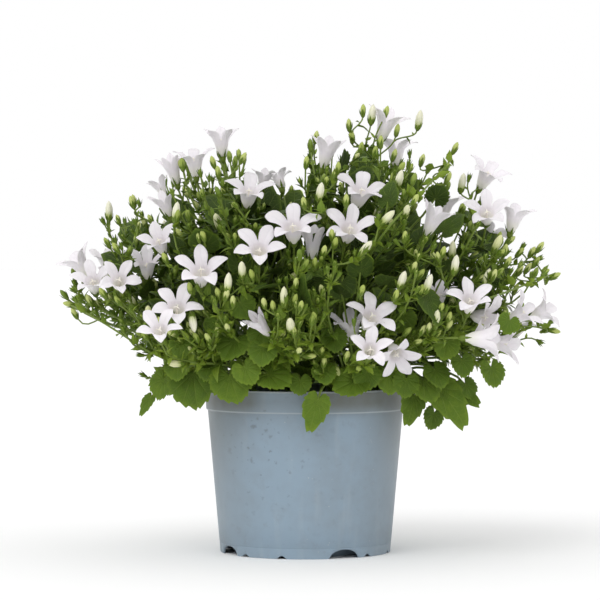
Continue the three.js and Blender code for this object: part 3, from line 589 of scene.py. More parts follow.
def writePiece(name, shape, materials, replaced, sharp):
    # the arrays as one mesh in metres, with edges sharper than an angle kept sharp
    points = np.concatenate(shape["points"]) / 1000
    triangles = np.concatenate(shape["triangles"])
    mesh = bpy.data.meshes.new(name)
    mesh.vertices.add(len(points))
    mesh.vertices.foreach_set("co", points.astype(np.float32).ravel())
    mesh.loops.add(triangles.size)
    mesh.loops.foreach_set("vertex_index", triangles.astype(np.int32).ravel())
    mesh.polygons.add(len(triangles))
    mesh.polygons.foreach_set("loop_start", np.arange(0, triangles.size, 3, dtype=np.int32))
    mesh.polygons.foreach_set("material_index", np.concatenate(shape["finish"]).astype(np.int32))
    mesh.update(calc_edges=True)
    form = mesh.attributes.new("form", "FLOAT_VECTOR", "POINT")
    form.data.foreach_set("vector", np.concatenate(shape["form"]).astype(np.float32).ravel())
    for material in materials:
        mesh.materials.append(material)
    mesh.shade_smooth()
    mesh.set_sharp_from_angle(angle=math.radians(sharp))
    piece = bpy.data.objects.new(name, mesh)
    bpy.context.scene.collection.objects.link(piece)
    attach(piece, "root")
    if replaced:
        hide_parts(*replaced)
    return piece


# blades: closed lens-shaped leaves, whose two faces meet at the margin


def bladeTemplate(across, along, inside):
    # across, along: the flat blade's grid in shares of its width and length
    # inside: 0 on the margin and 1 well inside it, which is where the blade is thick
    rows, columns = across.shape
    flat = np.stack([across, along], -1).reshape(-1, 2)
    inside = inside.reshape(-1)
    points = np.concatenate([np.column_stack([flat, inside]), np.column_stack([flat, -inside])])
    grid = gridTriangles(rows, columns)
    kept, triangles = welded(points, np.concatenate([grid, grid[:, ::-1] + rows * columns]))
    return {"points": points[kept], "triangles": triangles}


def stemLeafTemplate():
    # an ovate blade with two blunt teeth a side
    along = np.array([0, 0.3, 0.37, 0.62, 0.68, 1])
    half = np.array([0.12, 1.0, 0.84, 0.76, 0.54, 0])
    across = np.array([-1, 0, 1])
    grid = half[:, None] * across
    inside = (1 - np.abs(across)) * np.array([0, 1, 1, 1, 1, 0])[:, None]
    made = bladeTemplate(grid, along[:, None] + 0 * grid, inside)
    width = np.interp(made["points"][:, 1], along, np.maximum(half, 0.05))
    made["form"] = np.column_stack([made["points"][:, 0] / width, made["points"][:, 1]])
    return made


def sliverTemplate():
    # a narrow pointed blade, for sepals and bracts
    along = np.array([0, 0.4, 1])
    half = np.array([0.6, 1, 0])
    across = np.array([-1, 0, 1])
    grid = half[:, None] * across
    inside = (1 - np.abs(across)) * np.array([0, 1, 0])[:, None]
    made = bladeTemplate(grid, along[:, None] + 0 * grid, inside)
    made["form"] = made["points"][:, :2]
    return made


# distance of the margin from the stalk by direction, in shares of the leaf's width
leafOutlines = {
    "angles": (0, 10, 22, 38, 55, 72, 90, 108, 126, 142, 156),
    "kidney": (0.7, 0.68, 0.65, 0.62, 0.6, 0.57, 0.53, 0.49, 0.45, 0.4, 0.3),
    "heart": (1.0, 0.9, 0.76, 0.66, 0.58, 0.52, 0.47, 0.41, 0.36, 0.3, 0.2),
    "veinTurn": 28.0,
    "quilt": 0.035,
}


def roundLeafTemplate(kind, columns, rows, teeth, tooth):
    # rays from the stalk to a margin of blunt teeth, raised a little between the veins
    angles, margin = leafOutlines["angles"], leafOutlines[kind]
    turn = np.linspace(-angles[-1], angles[-1], columns)
    radial = np.linspace(0, 1, rows)[:, None] ** 0.8
    edge = np.interp(np.abs(turn), angles, margin)
    # each tooth leans towards the tip: it rises over most of its step and falls off sharply
    step = np.abs(turn) / angles[-1] * teeth
    rise = 1 - step % 1
    wave = np.where(rise < 0.8, rise / 0.8, (1 - rise) / 0.2)
    size = 1 + 0.45 * np.sin(np.floor(step) * 2.3 + np.sign(turn))
    notch = 1 + tooth * size * (wave - 0.7) * radial**6
    a = np.radians(turn)
    across = radial * edge * notch * np.sin(a)
    along = radial * edge * notch * np.cos(a)
    inside = np.where(radial < 1, 1.0, 0.0) * (np.abs(turn) < angles[-1] - 0.1)
    made = bladeTemplate(across, along, inside)
    p = made["points"]
    angle = np.degrees(np.arctan2(p[:, 0], p[:, 1]))
    far = np.hypot(p[:, 0], p[:, 1]) / np.interp(np.abs(angle), angles, margin)
    made["form"] = np.column_stack([angle / 180, far])
    ridges = np.abs(np.sin(np.radians(angle) * 180 / leafOutlines["veinTurn"]))
    made["quilt"] = ridges * far * (1.1 - far) * leafOutlines["quilt"]
    return made


def toned(form, tones):
    # one form for each copy, with the copy's own tone (n, 1) beside it
    alike = np.broadcast_to(form, (len(tones), *form.shape))
    return np.concatenate([alike, np.broadcast_to(tones[..., None], (len(tones), len(form), 1))], axis=2)


def stampBlades(shape, template, rows, finish, thick=0.3, wave=0.0):
    # rows: base (3), way of the tip (3), face (3), width, length, droop, fold, tone
    # each blade lifts by fold at its sides, sinks by droop towards its tip and waves at its margin
    rows = np.array(rows)
    if not len(rows):
        return
    base, tip, face = rows[:, None, 0:3], unit(rows[:, None, 3:6]), rows[:, None, 6:9]
    width, length, droop, fold, tone = (rows[:, k, None] for k in range(9, 14))
    side = unit(np.cross(tip, face))
    normal = np.cross(side, tip)
    p = template["points"]
    x = p[None, :, 0] * width
    y = p[None, :, 1] * length
    turn = np.arctan2(p[:, 0], p[:, 1])
    ripple = wave * width * np.hypot(p[:, 0], p[:, 1]) ** 2 * np.sin(turn * 5 + tone * 40)
    if "quilt" in template:
        ripple = ripple + template["quilt"] * width
    lift = fold * np.abs(x) - droop * y * np.abs(y) / length + p[None, :, 2] * thick + ripple
    points = base + side * x[..., None] + tip * y[..., None] + normal * lift[..., None]
    form = toned(template["form"], tone)
    addTo(shape, points, copies(template["triangles"], len(rows), len(p)), form, finish)


# turned shapes: buds and the cups under them, round an axis


def turnedTemplate(profile, sides):
    # profile: (share of the length, share of the radius) from end to end, closed at both
    profile = np.array(profile)
    turn = np.arange(sides) * 2 * np.pi / sides
    along = np.repeat(profile[:, 0], sides)
    out = np.repeat(profile[:, 1], sides)
    spin = np.tile(turn, len(profile))
    points = np.column_stack([out * np.cos(spin), out * np.sin(spin), along])
    kept, triangles = welded(points, gridTriangles(len(profile), sides, True))
    form = np.column_stack([spin / (2 * np.pi), along])
    return {"points": points[kept], "triangles": triangles, "form": form[kept]}


def stampTurned(shape, template, rows, finish):
    # rows: base (3), axis (3), length, radius, tone. Each copy is stretched along its axis.
    rows = np.array(rows)
    if not len(rows):
        return
    axis = unit(rows[:, None, 3:6])
    side = unit(np.cross(axis, [0.31, 0.95, 0.05]))
    other = np.cross(axis, side)
    p = template["points"]
    length, radius = rows[:, 6, None, None], rows[:, 7, None, None]
    points = rows[:, None, 0:3] + axis * p[None, :, 2:3] * length
    points = points + (side * p[None, :, 0:1] + other * p[None, :, 1:2]) * radius
    form = toned(template["form"], rows[:, 8, None])
    addTo(shape, points, copies(template["triangles"], len(rows), len(p)), form, finish)


# tubes: stems and stalks along curves


def stampTubes(shape, rows, steps, sides, finish):
    # rows: the curve's four control points (12), first radius, last radius, tone
    # rings square to the curve, joined up and closed by a fan at each end
    rows = np.array(rows)
    if not len(rows):
        return
    path = bezier(rows[:, :12].reshape(-1, 4, 3), steps)
    ahead = unit(np.gradient(path, axis=1))
    main = unit(path[:, -1] - path[:, 0])
    steady = np.where(np.abs(main[:, 2:3]) < 0.8, up, np.array([1.0, 0, 0]))
    side = unit(np.cross(ahead, steady[:, None]))
    other = np.cross(ahead, side)
    radius = mix(rows[:, 12, None], rows[:, 13, None], np.linspace(0, 1, steps))[:, :, None, None]
    turn = np.arange(sides) * 2 * np.pi / sides
    ring = side[:, :, None] * np.cos(turn)[:, None] + other[:, :, None] * np.sin(turn)[:, None]
    points = path[:, :, None] + ring * radius
    triangles = gridTriangles(steps, sides, True)
    fan = np.array([(0, k + 1, k) for k in range(1, sides - 1)])
    triangles = np.concatenate([triangles, fan, fan[:, ::-1] + (steps - 1) * sides])
    along, around = np.meshgrid(np.linspace(0, 1, steps), turn / (2 * np.pi), indexing="ij")
    form = toned(np.stack([around.ravel(), along.ravel()], -1), rows[:, 14, None])
    addTo(shape, points, copies(triangles, len(rows), steps * sides), form, finish)


# materials

colors = {
    "petal": (0.88, 0.82, 0.875, 1),
    "petalShade": (0.79, 0.74, 0.815, 1),
    # throat: pale lime, made brighter as painted light that offsets the shade inside the tube
    "throat": (0.93, 0.92, 0.72, 1),
    "style": (0.86, 0.86, 0.6, 1),
    "leafDeep": (0.031, 0.058, 0.007, 1),
    "leafMiddle": (0.084, 0.148, 0.012, 1),
    "leafYoung": (0.215, 0.305, 0.03, 1),
    "leafVein": (0.24, 0.32, 0.06, 1),
    "stemGreen": (0.10, 0.16, 0.018, 1),
    "stemPale": (0.19, 0.255, 0.04, 1),
    "budGreen": (0.14, 0.215, 0.02, 1),
    "budLime": (0.42, 0.50, 0.11, 1),
    "budCream": (0.68, 0.69, 0.35, 1),
    "budWhite": (0.78, 0.77, 0.61, 1),
    "pot": (0.245, 0.325, 0.4, 1),
    # dull colour: the dull patches and dried splashes, and also the painted shade of the pot's sides
    "potDullAndShade": (0.205, 0.235, 0.255, 1),
    # dust colour: the dust, specks and streaks, and also the painted highlights on the pot's edges
    "potDustAndHighlight": (0.42, 0.46, 0.48, 1),
    "potDirt": (0.10, 0.10, 0.09, 1),
    "potShade": (0.14, 0.15, 0.135, 1),
    "soil": (0.022, 0.014, 0.009, 1),
    "soilPale": (0.085, 0.055, 0.032, 1),
}

# values that stay the same all over a material
finishes = {
    "roundLeaf": {
        "Roughness": 0.6,
        "Specular IOR Level": 0.16,
        "Subsurface Weight": 0.06,
        "Subsurface Radius": (0.4, 1.0, 0.2),
        "Subsurface Scale": 0.0006,
    },
    "stemLeaf": {
        "Roughness": 0.6,
        "Specular IOR Level": 0.2,
        "Subsurface Weight": 0.06,
        "Subsurface Radius": (0.4, 1.0, 0.2),
        "Subsurface Scale": 0.0005,
    },
    "stemSkin": {"Roughness": 0.5, "Specular IOR Level": 0.3},
    "budSkin": {
        "Roughness": 0.5,
        "Specular IOR Level": 0.35,
        "Subsurface Weight": 0.1,
        "Subsurface Radius": (1.0, 1.0, 0.6),
        "Subsurface Scale": 0.0008,
    },
    "petalWhite": {
        "Roughness": 0.55,
        "Specular IOR Level": 0.3,
        "Subsurface Weight": 0.5,
        "Subsurface Radius": (1.0, 0.95, 1.0),
        "Subsurface Scale": 0.003,
    },
    "styleCream": {"Roughness": 0.6},
    "potPlastic": {"Roughness": 0.45, "Specular IOR Level": 0.35},
    "pottingSoil": {"Roughness": 0.95},
}


def feed(tree, socket, value):
    # a link where the value is another node's socket, and a plain value otherwise
    if isinstance(value, bpy.types.NodeSocket):
        tree.links.new(value, socket)
    else:
        socket.default_value = value


def addNode(tree, kind, inputs, **settings):
    # a node with its settings and inputs, by its outputs
    made = tree.nodes.new(kind)
    for name, value in settings.items():
        setattr(made, name, value)
    for name, value in inputs.items():
        feed(tree, made.inputs[name], value)
    return made.outputs


def calculate(tree, operation, *values):
    # one step of arithmetic on sockets or numbers
    return addNode(tree, "ShaderNodeMath", dict(enumerate(values)), operation=operation)[0]


def times(tree, one, two):
    return calculate(tree, "MULTIPLY", one, two)


def plus(tree, one, two):
    return calculate(tree, "ADD", one, two)


def minus(tree, one, two):
    return calculate(tree, "SUBTRACT", one, two)


def folded(tree, value, period):
    # up from 0 to the period and down again
    return calculate(tree, "PINGPONG", value, period)


def blended(tree, share, one, two):
    # colour one at share 0, colour two at share 1
    return addNode(tree, "ShaderNodeMix", {0: share, 6: one, 7: two}, data_type="RGBA")[2]


def ranged(tree, value, low, high, toLow=0.0, toHigh=1.0):
    # the range from low to high carried smoothly to another range, and held past its ends
    inputs = dict(enumerate((value, low, high, toLow, toHigh)))
    return addNode(tree, "ShaderNodeMapRange", inputs, interpolation_type="SMOOTHSTEP")[0]


def noise(tree, place, scale, detail, rough=0.5):
    # cloudy noise: its value first, and its colour
    inputs = {"Vector": place, "Scale": scale, "Detail": detail, "Roughness": rough}
    return addNode(tree, "ShaderNodeTexNoise", inputs)


def cells(tree, place, scale):
    # scattered cells: the distance to each one's middle, and its colour
    return addNode(tree, "ShaderNodeTexVoronoi", {"Vector": place, "Scale": scale})


def objectPlace(tree):
    # metres in the piece's own frame
    return tree.nodes.new("ShaderNodeTexCoord").outputs["Object"]


def mottleGroup():
    # uneven colour: a broad noise and a fine one, as one value about 0.5
    group = bpy.data.node_groups.new("mottle", "ShaderNodeTree")
    for name in ("Scale", "Fine"):
        group.interface.new_socket(name, in_out="INPUT", socket_type="NodeSocketFloat")
    group.interface.new_socket("Value", in_out="OUTPUT", socket_type="NodeSocketFloat")
    start = group.nodes.new("NodeGroupInput").outputs
    end = group.nodes.new("NodeGroupOutput").inputs
    place = objectPlace(group)
    broad = noise(group, place, start["Scale"], 2.0)[0]
    fine = noise(group, place, times(group, start["Scale"], 6.0), 3.0)[0]
    group.links.new(blended(group, start["Fine"], broad, fine), end["Value"])
    return group


mottle = mottleGroup()


def mottled(tree, scale, fine):
    # the mottle at a scale, with a share of its fine noise
    return addNode(tree, "ShaderNodeGroup", {"Scale": scale, "Fine": fine}, node_tree=mottle)["Value"]


def newMaterial(name):
    # a shader with the values that stay the same
    material = bpy.data.materials.new(name)
    material.use_nodes = True
    shader = material.node_tree.nodes["Principled BSDF"]
    for socket, value in finishes[name].items():
        shader.inputs[socket].default_value = value
    return material, material.node_tree


def formOf(tree):
    # the element's own coordinates: across, along and tone
    form = addNode(tree, "ShaderNodeAttribute", {}, attribute_name="form")["Vector"]
    return addNode(tree, "ShaderNodeSeparateXYZ", {"Vector": form})


def finished(material, color, rough, height, strength, distance):
    # colour, roughness and relief joined to the shader
    tree = material.node_tree
    shader = tree.nodes["Principled BSDF"]
    tree.links.new(color, shader.inputs["Base Color"])
    if rough is not None:
        tree.links.new(rough, shader.inputs["Roughness"])
    relief = {"Height": height, "Strength": strength, "Distance": distance}
    tree.links.new(addNode(tree, "ShaderNodeBump", relief)[0], shader.inputs["Normal"])
    return material


def unevenRoughness(tree, uneven, low, high):
    # roughness from low to high over the usual range of the mottle
    return ranged(tree, uneven, 0.3, 0.7, low, high)


def leafColor(tree, tone, spread):
    # deep to young green by tone, made uneven by the mottle
    uneven = mottled(tree, 180.0, 0.35)
    value = plus(tree, tone, times(tree, minus(tree, uneven, 0.5), spread))
    low = blended(tree, ranged(tree, value, 0.0, 0.5), colors["leafDeep"], colors["leafMiddle"])
    return blended(tree, ranged(tree, value, 0.45, 1.0), low, colors["leafYoung"]), uneven


def roundLeafMaterial():
    # palmate veins: pale lines at even turns round the stalk, with side veins between them
    material, tree = newMaterial("roundLeaf")
    turn, far, tone = formOf(tree)
    color, uneven = leafColor(tree, tone, 0.5)
    step = folded(tree, times(tree, turn, 180.0), leafOutlines["veinTurn"] / 2)
    wide = times(tree, step, plus(tree, far, 0.12))
    main = ranged(tree, wide, 0.3, 1.1, 1.0, 0.0)
    main = times(tree, main, ranged(tree, far, 0.4, 1.0, 1.0, 0.35))
    slant = plus(tree, times(tree, far, 8.0), times(tree, step, -0.13))
    slant = plus(tree, slant, times(tree, uneven, 1.2))
    sides = ranged(tree, folded(tree, slant, 0.5), 0.02, 0.12, 1.0, 0.0)
    vein = calculate(tree, "MAXIMUM", main, times(tree, sides, 0.4))
    color = blended(tree, times(tree, vein, 0.36), color, colors["leafVein"])
    edge = times(tree, ranged(tree, far, 0.8, 1.0), 0.3)
    color = blended(tree, edge, color, colors["leafYoung"])
    height = minus(tree, times(tree, uneven, 0.5), times(tree, vein, 0.7))
    return finished(material, color, unevenRoughness(tree, uneven, 0.5, 0.68), height, 0.5, 0.0006)


def stemLeafMaterial():
    # one pale midrib and a few slanted side veins
    material, tree = newMaterial("stemLeaf")
    across, along, tone = formOf(tree)
    color, uneven = leafColor(tree, tone, 0.45)
    off = calculate(tree, "ABSOLUTE", across)
    rib = ranged(tree, off, 0.04, 0.16, 1.0, 0.0)
    slant = minus(tree, times(tree, along, 6.0), times(tree, off, 1.2))
    sides = ranged(tree, folded(tree, slant, 0.5), 0.03, 0.14, 1.0, 0.0)
    vein = calculate(tree, "MAXIMUM", rib, times(tree, sides, 0.4))
    color = blended(tree, times(tree, vein, 0.35), color, colors["leafVein"])
    rough = unevenRoughness(tree, uneven, 0.42, 0.62)
    return finished(material, color, rough, times(tree, vein, -1.0), 0.4, 0.0004)


def stemMaterial():
    # green at the foot of each stalk, paler towards its end by its tone
    material, tree = newMaterial("stemSkin")
    _, along, tone = formOf(tree)
    uneven = mottled(tree, 260.0, 0.5)
    pale = times(tree, plus(tree, along, uneven), times(tree, tone, 0.75))
    color = blended(tree, pale, colors["stemGreen"], colors["stemPale"])
    return finished(material, color, unevenRoughness(tree, uneven, 0.4, 0.6), uneven, 0.3, 0.0003)


def budMaterial():
    # green under, lime to cream and white above as the bud ages, with five soft pleats
    material, tree = newMaterial("budSkin")
    around, along, age = formOf(tree)
    uneven = mottled(tree, 300.0, 0.4)
    young = blended(tree, ranged(tree, age, 0.0, 0.5), colors["budGreen"], colors["budLime"])
    old = blended(tree, ranged(tree, age, 0.6, 1.0), colors["budCream"], colors["budWhite"])
    skin = blended(tree, ranged(tree, age, 0.35, 0.75), young, old)
    under = blended(tree, ranged(tree, age, 0.3, 1.0), colors["budGreen"], colors["budLime"])
    height = plus(tree, along, times(tree, minus(tree, uneven, 0.5), 0.4))
    color = blended(tree, ranged(tree, height, 0.18, 0.62), under, skin)
    pleat = folded(tree, times(tree, around, 5.0), 0.5)
    crease = ranged(tree, pleat, 0.0, 0.12, 1.0, 0.0)
    color = blended(tree, times(tree, crease, 0.22), color, colors["budGreen"])
    return finished(material, color, unevenRoughness(tree, uneven, 0.42, 0.6), pleat, 0.35, 0.0006)


def petalMaterial():
    # white with a breath of lilac, a pale lime throat brightened as painted light against the shade inside
    # the tube, a painted shade line down each lobe's middle, and fine veins from the throat to the tip
    material, tree = newMaterial("petalWhite")
    across, along, _ = formOf(tree)
    uneven = mottled(tree, 120.0, 0.3)
    shade = times(tree, ranged(tree, uneven, 0.35, 0.75), 0.35)
    color = blended(tree, shade, colors["petal"], colors["petalShade"])
    off = calculate(tree, "ABSOLUTE", across)
    # painted shade along the crease down the middle of each lobe; the fainter lines beside it are real
    # veins
    keelShade = ranged(tree, off, 0.0, 0.12, 1.0, 0.0)
    lines = ranged(tree, folded(tree, times(tree, off, 4.0), 0.5), 0.0, 0.12, 1.0, 0.0)
    vein = calculate(tree, "MAXIMUM", keelShade, times(tree, lines, 0.5))
    color = blended(tree, times(tree, vein, 0.3), color, colors["petalShade"])
    # the throat's pale lime tint, partly real and partly painted light against the shade inside the tube
    deep = times(tree, ranged(tree, along, 0.1, 0.5, 1.0, 0.0), 0.6)
    color = blended(tree, deep, color, colors["throat"])
    rough = unevenRoughness(tree, uneven, 0.48, 0.62)
    return finished(material, color, rough, times(tree, vein, -1.0), 0.3, 0.0003)


def styleMaterial():
    # cream made uneven by the petals' white
    material, tree = newMaterial("styleCream")
    uneven = mottled(tree, 500.0, 0.6)
    color = blended(tree, uneven, colors["style"], colors["petal"])
    return finished(material, color, None, uneven, 0.4, 0.0003)


# heights and places in metres, as the Object coordinates are, for the pot's wear and its painted shade and
# highlights
potWearAndPaintedLight = {
    "dull": 0.45,  # strength of the broad dull patches
    "streak": 0.16,
    "streakSquash": (1.0, 1.0, 0.12),
    "speck": 0.6,
    "splashHeight": 0.03,  # up to which the foot is splashed more
    "marksMiddle": (-0.028, -0.05, 0.066),
    "marksReach": (0.012, 0.05),
    "marksBend": ((45.0, 3.0, 0.006), (420.0, 2.0, 0.0045)),  # scale, detail, bend
    "marks": ((85.0, 0.22, 0.4), (140.0, 0.26, 0.45), (260.0, 0.3, 0.45)),  # scale, size, strength
    # painted shade of the sides: where it comes in from the middle of the front, and the heights over which
    # it deepens
    "sides": (0.024, 0.058),  # from the middle of the front
    "sideShadeHeights": (0.03, 0.085),
    # the lit gap in the band's painted shadow, left of the middle, and the band's heights
    "bandLitMiddle": 0.013,  # left of the middle
    "bandLitDistance": (0.006, 0.024),
    "band": (0.08, 0.092),
    # painted highlight lines along the edges
    "lines": ((0.0853, 0.0006, 0.55), (0.0978, 0.0011, 0.85)),  # height, width, strength
}


def potMaterial():
    # satin moulded plastic with dust, specks, faint streaks, dried splashes and dirt marks, painted shade
    # on its sides, a painted shadow on the band and painted highlights on its edges
    material, tree = newMaterial("potPlastic")
    place = objectPlace(tree)
    x, _, z = addNode(tree, "ShaderNodeSeparateXYZ", {"Vector": place})
    uneven = mottled(tree, 22.0, 0.35)
    dull = ranged(tree, uneven, 0.4, 0.75, 0.0, potWearAndPaintedLight["dull"])
    color = blended(tree, dull, colors["pot"], colors["potDullAndShade"])
    squash = addNode(tree, "ShaderNodeMapping", {"Vector": place, "Scale": potWearAndPaintedLight["streakSquash"]})[0]
    streak = ranged(tree, noise(tree, squash, 130.0, 3.0)[0], 0.55, 0.8, 0.0, potWearAndPaintedLight["streak"])
    color = blended(tree, streak, color, colors["potDustAndHighlight"])
    speck = ranged(tree, cells(tree, place, 210.0)["Distance"], 0.04, 0.11, 1.0, 0.0)
    speck = times(tree, speck, ranged(tree, noise(tree, place, 60.0, 1.0)[0], 0.5, 0.62))
    color = blended(tree, times(tree, speck, potWearAndPaintedLight["speck"]), color, colors["potDustAndHighlight"])
    low = ranged(tree, z, 0.0, potWearAndPaintedLight["splashHeight"], 1.0, 0.0)
    splash = ranged(tree, noise(tree, place, 95.0, 5.0, 0.7)[0], 0.56, 0.7)
    dirt = times(tree, splash, plus(tree, times(tree, low, 0.35), 0.25))
    color = blended(tree, dirt, color, colors["potDullAndShade"])
    # marks of dried soil, most of them round one place below the band
    ends = {0: place, 1: potWearAndPaintedLight["marksMiddle"]}
    away = addNode(tree, "ShaderNodeVectorMath", ends, operation="DISTANCE")["Value"]
    near = ranged(tree, away, *potWearAndPaintedLight["marksReach"], 1.0, 0.2)
    bent = place
    for scale, detail, bend in potWearAndPaintedLight["marksBend"]:
        inputs = {0: noise(tree, place, scale, detail)["Color"], 1: (bend,) * 3, 2: bent}
        bent = addNode(tree, "ShaderNodeVectorMath", inputs, operation="MULTIPLY_ADD")[0]
    for scale, size, strength in potWearAndPaintedLight["marks"]:
        spots = cells(tree, bent, scale)
        mark = ranged(tree, spots["Distance"], size * 0.2, size, strength, 0.0)
        some = addNode(tree, "ShaderNodeSeparateColor", {0: spots["Color"]})[0]
        mark = times(tree, times(tree, mark, ranged(tree, some, 0.5, 0.56)), near)
        color = blended(tree, mark, color, colors["potDirt"])
    # painted shade: darker towards the sides, where the round wall turns away, and most of all high up
    sides = ranged(tree, calculate(tree, "ABSOLUTE", x), *potWearAndPaintedLight["sides"], 0.0, 0.5)
    color = blended(tree, sides, color, colors["potDullAndShade"])
    high = times(tree, sides, ranged(tree, z, *potWearAndPaintedLight["sideShadeHeights"], 0.1, 0.9))
    color = blended(tree, high, color, colors["potShade"])
    # painted shadow of the overhanging foliage on the band under the rim, left out a little left of the
    # front where the band is lit
    bandLitDistance = calculate(tree, "ABSOLUTE", plus(tree, x, potWearAndPaintedLight["bandLitMiddle"]))
    bandShadow = ranged(tree, bandLitDistance, *potWearAndPaintedLight["bandLitDistance"], 0.2, 0.95)
    bandShadow = times(tree, bandShadow, ranged(tree, uneven, 0.3, 0.6, 0.6, 1.0))
    bandShadow = times(tree, ranged(tree, z, *potWearAndPaintedLight["band"]), bandShadow)
    color = blended(tree, bandShadow, color, colors["potShade"])
    # painted highlights along the band's foot and the rim's lip
    for height, wide, strength in potWearAndPaintedLight["lines"]:
        off = calculate(tree, "ABSOLUTE", minus(tree, z, height))
        color = blended(tree, ranged(tree, off, wide * 0.4, wide, strength, 0.0), color, colors["potDustAndHighlight"])
    rough = plus(tree, unevenRoughness(tree, uneven, 0.4, 0.52), times(tree, speck, 0.2))
    grain = noise(tree, place, 900.0, 2.0)[0]
    height = plus(tree, times(tree, grain, 0.5), times(tree, speck, 0.6))
    return finished(material, color, rough, height, 0.12, 0.0004)


def soilMaterial():
    # dark and pale crumbs by the mottle, which also raises them
    material, tree = newMaterial("pottingSoil")
    crumbs = mottled(tree, 260.0, 0.5)
    color = blended(tree, ranged(tree, crumbs, 0.45, 0.7), colors["soil"], colors["soilPale"])
    return finished(material, color, None, crumbs, 1.0, 0.002)


plantMaterials = [stemMaterial(), stemLeafMaterial(), roundLeafMaterial(), budMaterial()]
stemSkin, stemLeaf, roundLeaf, budSkin = range(4)
flowerMaterials = [petalMaterial(), styleMaterial()]
print("materials made")

# pot and soil

pot = {
    "height": 98.0,
    "rim": 60.0,
    "bandHeight": 13.0,
    "bandFoot": 59.2,
    "shoulder": 58.3,
    "foot": 50.75,
    "wall": 1.3,
    "floor": 36.0,
    "channel": 5.6,
    "arch": (19.0, 5.2, 27.0),  # width, height, first turn
    "scallops": (7.5, 1.8, (-16.0, -44.0)),
    "drain": 4.0,
    "columns": 480,
    "lip": 0.5,  # radius of the rounded edges
    "rod": (2, 6, 24),  # start, length and sides of the rods that cut the drain holes
}

soil = {
    "rings": 40,
    "columns": 130,
    "top": 89.4,
    "widest": 86,
    "swell": 1.9,
    "gap": 0.9,  # to the pot's wall
    "crumbs": ((7.0, 0.45), (3.1, 0.35), (1.5, 0.3)),  # wave length, height
    "waves": 6,
    "floor": (38.2, 7.2, 36.2, 1.6),  # radius and height over the channel, and inside it
}


def potOutside(z):
    # the wall's outer radius, which grows evenly from the foot to the shoulder
    lean = (pot["shoulder"] - pot["foot"]) / (pot["height"] - pot["bandHeight"])
    return pot["foot"] + lean * z


def potInside(z):
    # the wall's inner radius
    return potOutside(z) - pot["wall"]


def footHeight(turn):
    # the foot's lower edge by turn round the axis: elliptical arches and small scallops between them
    arc = pot["foot"] * np.radians(1.0)  # millimetres a degree
    width, tall, first = pot["arch"]
    small, low, places = pot["scallops"]
    off = (turn - first + 45) % 90 - 45
    height = tall * np.sqrt(np.maximum(1 - (off * arc / (width / 2)) ** 2, 0))
    for place in places:
        off = np.clip(((turn - place + 45) % 90 - 45) * arc / small, -0.5, 0.5)
        height = np.maximum(height, low * np.cos(off * np.pi) ** 2)
    return height


def potShape():
    # a profile turned round the axis. The points of the foot's edge follow its arches.
    lip, rim, wall, floor, channel = (pot[name] for name in ("lip", "rim", "wall", "floor", "channel"))
    top, band, foot = pot["height"], pot["height"] - pot["bandHeight"], pot["bandFoot"]
    channelTop = channel + wall
    # radius, height, and 1 on the foot's edge
    profile = [
        (0, 0, 0), (floor - 0.4, 0, 0), (floor + 0.2, 0.3, 0),
        (floor + 1.8, channel - 0.3, 0), (floor + 2.4, channel, 0),
        (potInside(channel) - 0.4, channel, 0), (potInside(channel), channel - 0.4, 0),
        (potInside(0), 0.2, 1), (potInside(0) + 0.2, 0, 1),
        (pot["foot"] - 0.25, 0, 1), (pot["foot"], 0.25, 1),
        (potOutside(5.6), 5.6, 0), (potOutside(5.75) - 0.22, 5.85, 0),
        (potOutside(6.1) - 0.22, 6.2, 0), (potOutside(6.5), 6.5, 0),
        (potOutside(20), 20, 0), (potOutside(40), 40, 0), (potOutside(62), 62, 0),
        (potOutside(band - 1.2), band - 1.2, 0), (potOutside(band) - 0.05, band - 0.3, 0),
        (potOutside(band) + 0.15, band, 0), (foot - lip, band, 0),
        (foot - 0.1, band + 0.15, 0), (foot + 0.05, band + 0.6, 0),
        (mix(foot, rim, 0.5), mix(band, top, 0.5), 0),
        (rim - 0.12, top - 1.9, 0), (rim, top - 1.6, 0), (rim, top - 0.5, 0),
        (rim - 0.15, top - 0.13, 0), (rim - 0.5, top, 0),
        (rim - wall + 0.35, top, 0), (rim - wall + 0.05, top - 0.15, 0),
        (rim - wall, top - 0.5, 0), (potInside(band), band - 1, 0),
        (potInside(60), 60, 0), (potInside(30), 30, 0), (potInside(channelTop), channelTop, 0),
        (floor + 3, channelTop, 0), (floor + 1, wall, 0), (0, wall, 0),
    ]
    r, z, follow = np.array(profile, float).T
    turn = np.arange(pot["columns"]) * 360 / pot["columns"]
    height = z[:, None] + follow[:, None] * footHeight(turn)
    a = np.radians(turn) - np.pi / 2
    points = np.stack([r[:, None] * np.cos(a), r[:, None] * np.sin(a), height], -1)
    kept, triangles = welded(points.reshape(-1, 3), gridTriangles(len(r), len(turn), True))
    shape = newShape()
    addTo(shape, points.reshape(-1, 3)[kept], triangles, np.zeros((len(kept), 3)), 0)
    return shape


def drainCutter():
    # four short rods through the channel's floor
    start, length, sides = pot["rod"]
    reach = (pot["foot"] + pot["floor"]) / 2
    turns = np.radians(pot["arch"][2] + 90 * np.arange(4) - 90)
    feet = [(reach * math.cos(a), reach * math.sin(a), start) for a in turns]
    shape = newShape()
    template = turnedTemplate([(0, 0), (0, 1), (1, 1), (1, 0)], sides)
    stampTurned(shape, template, [[*foot, *up, length, pot["drain"], 0] for foot in feet], 0)
    return shape


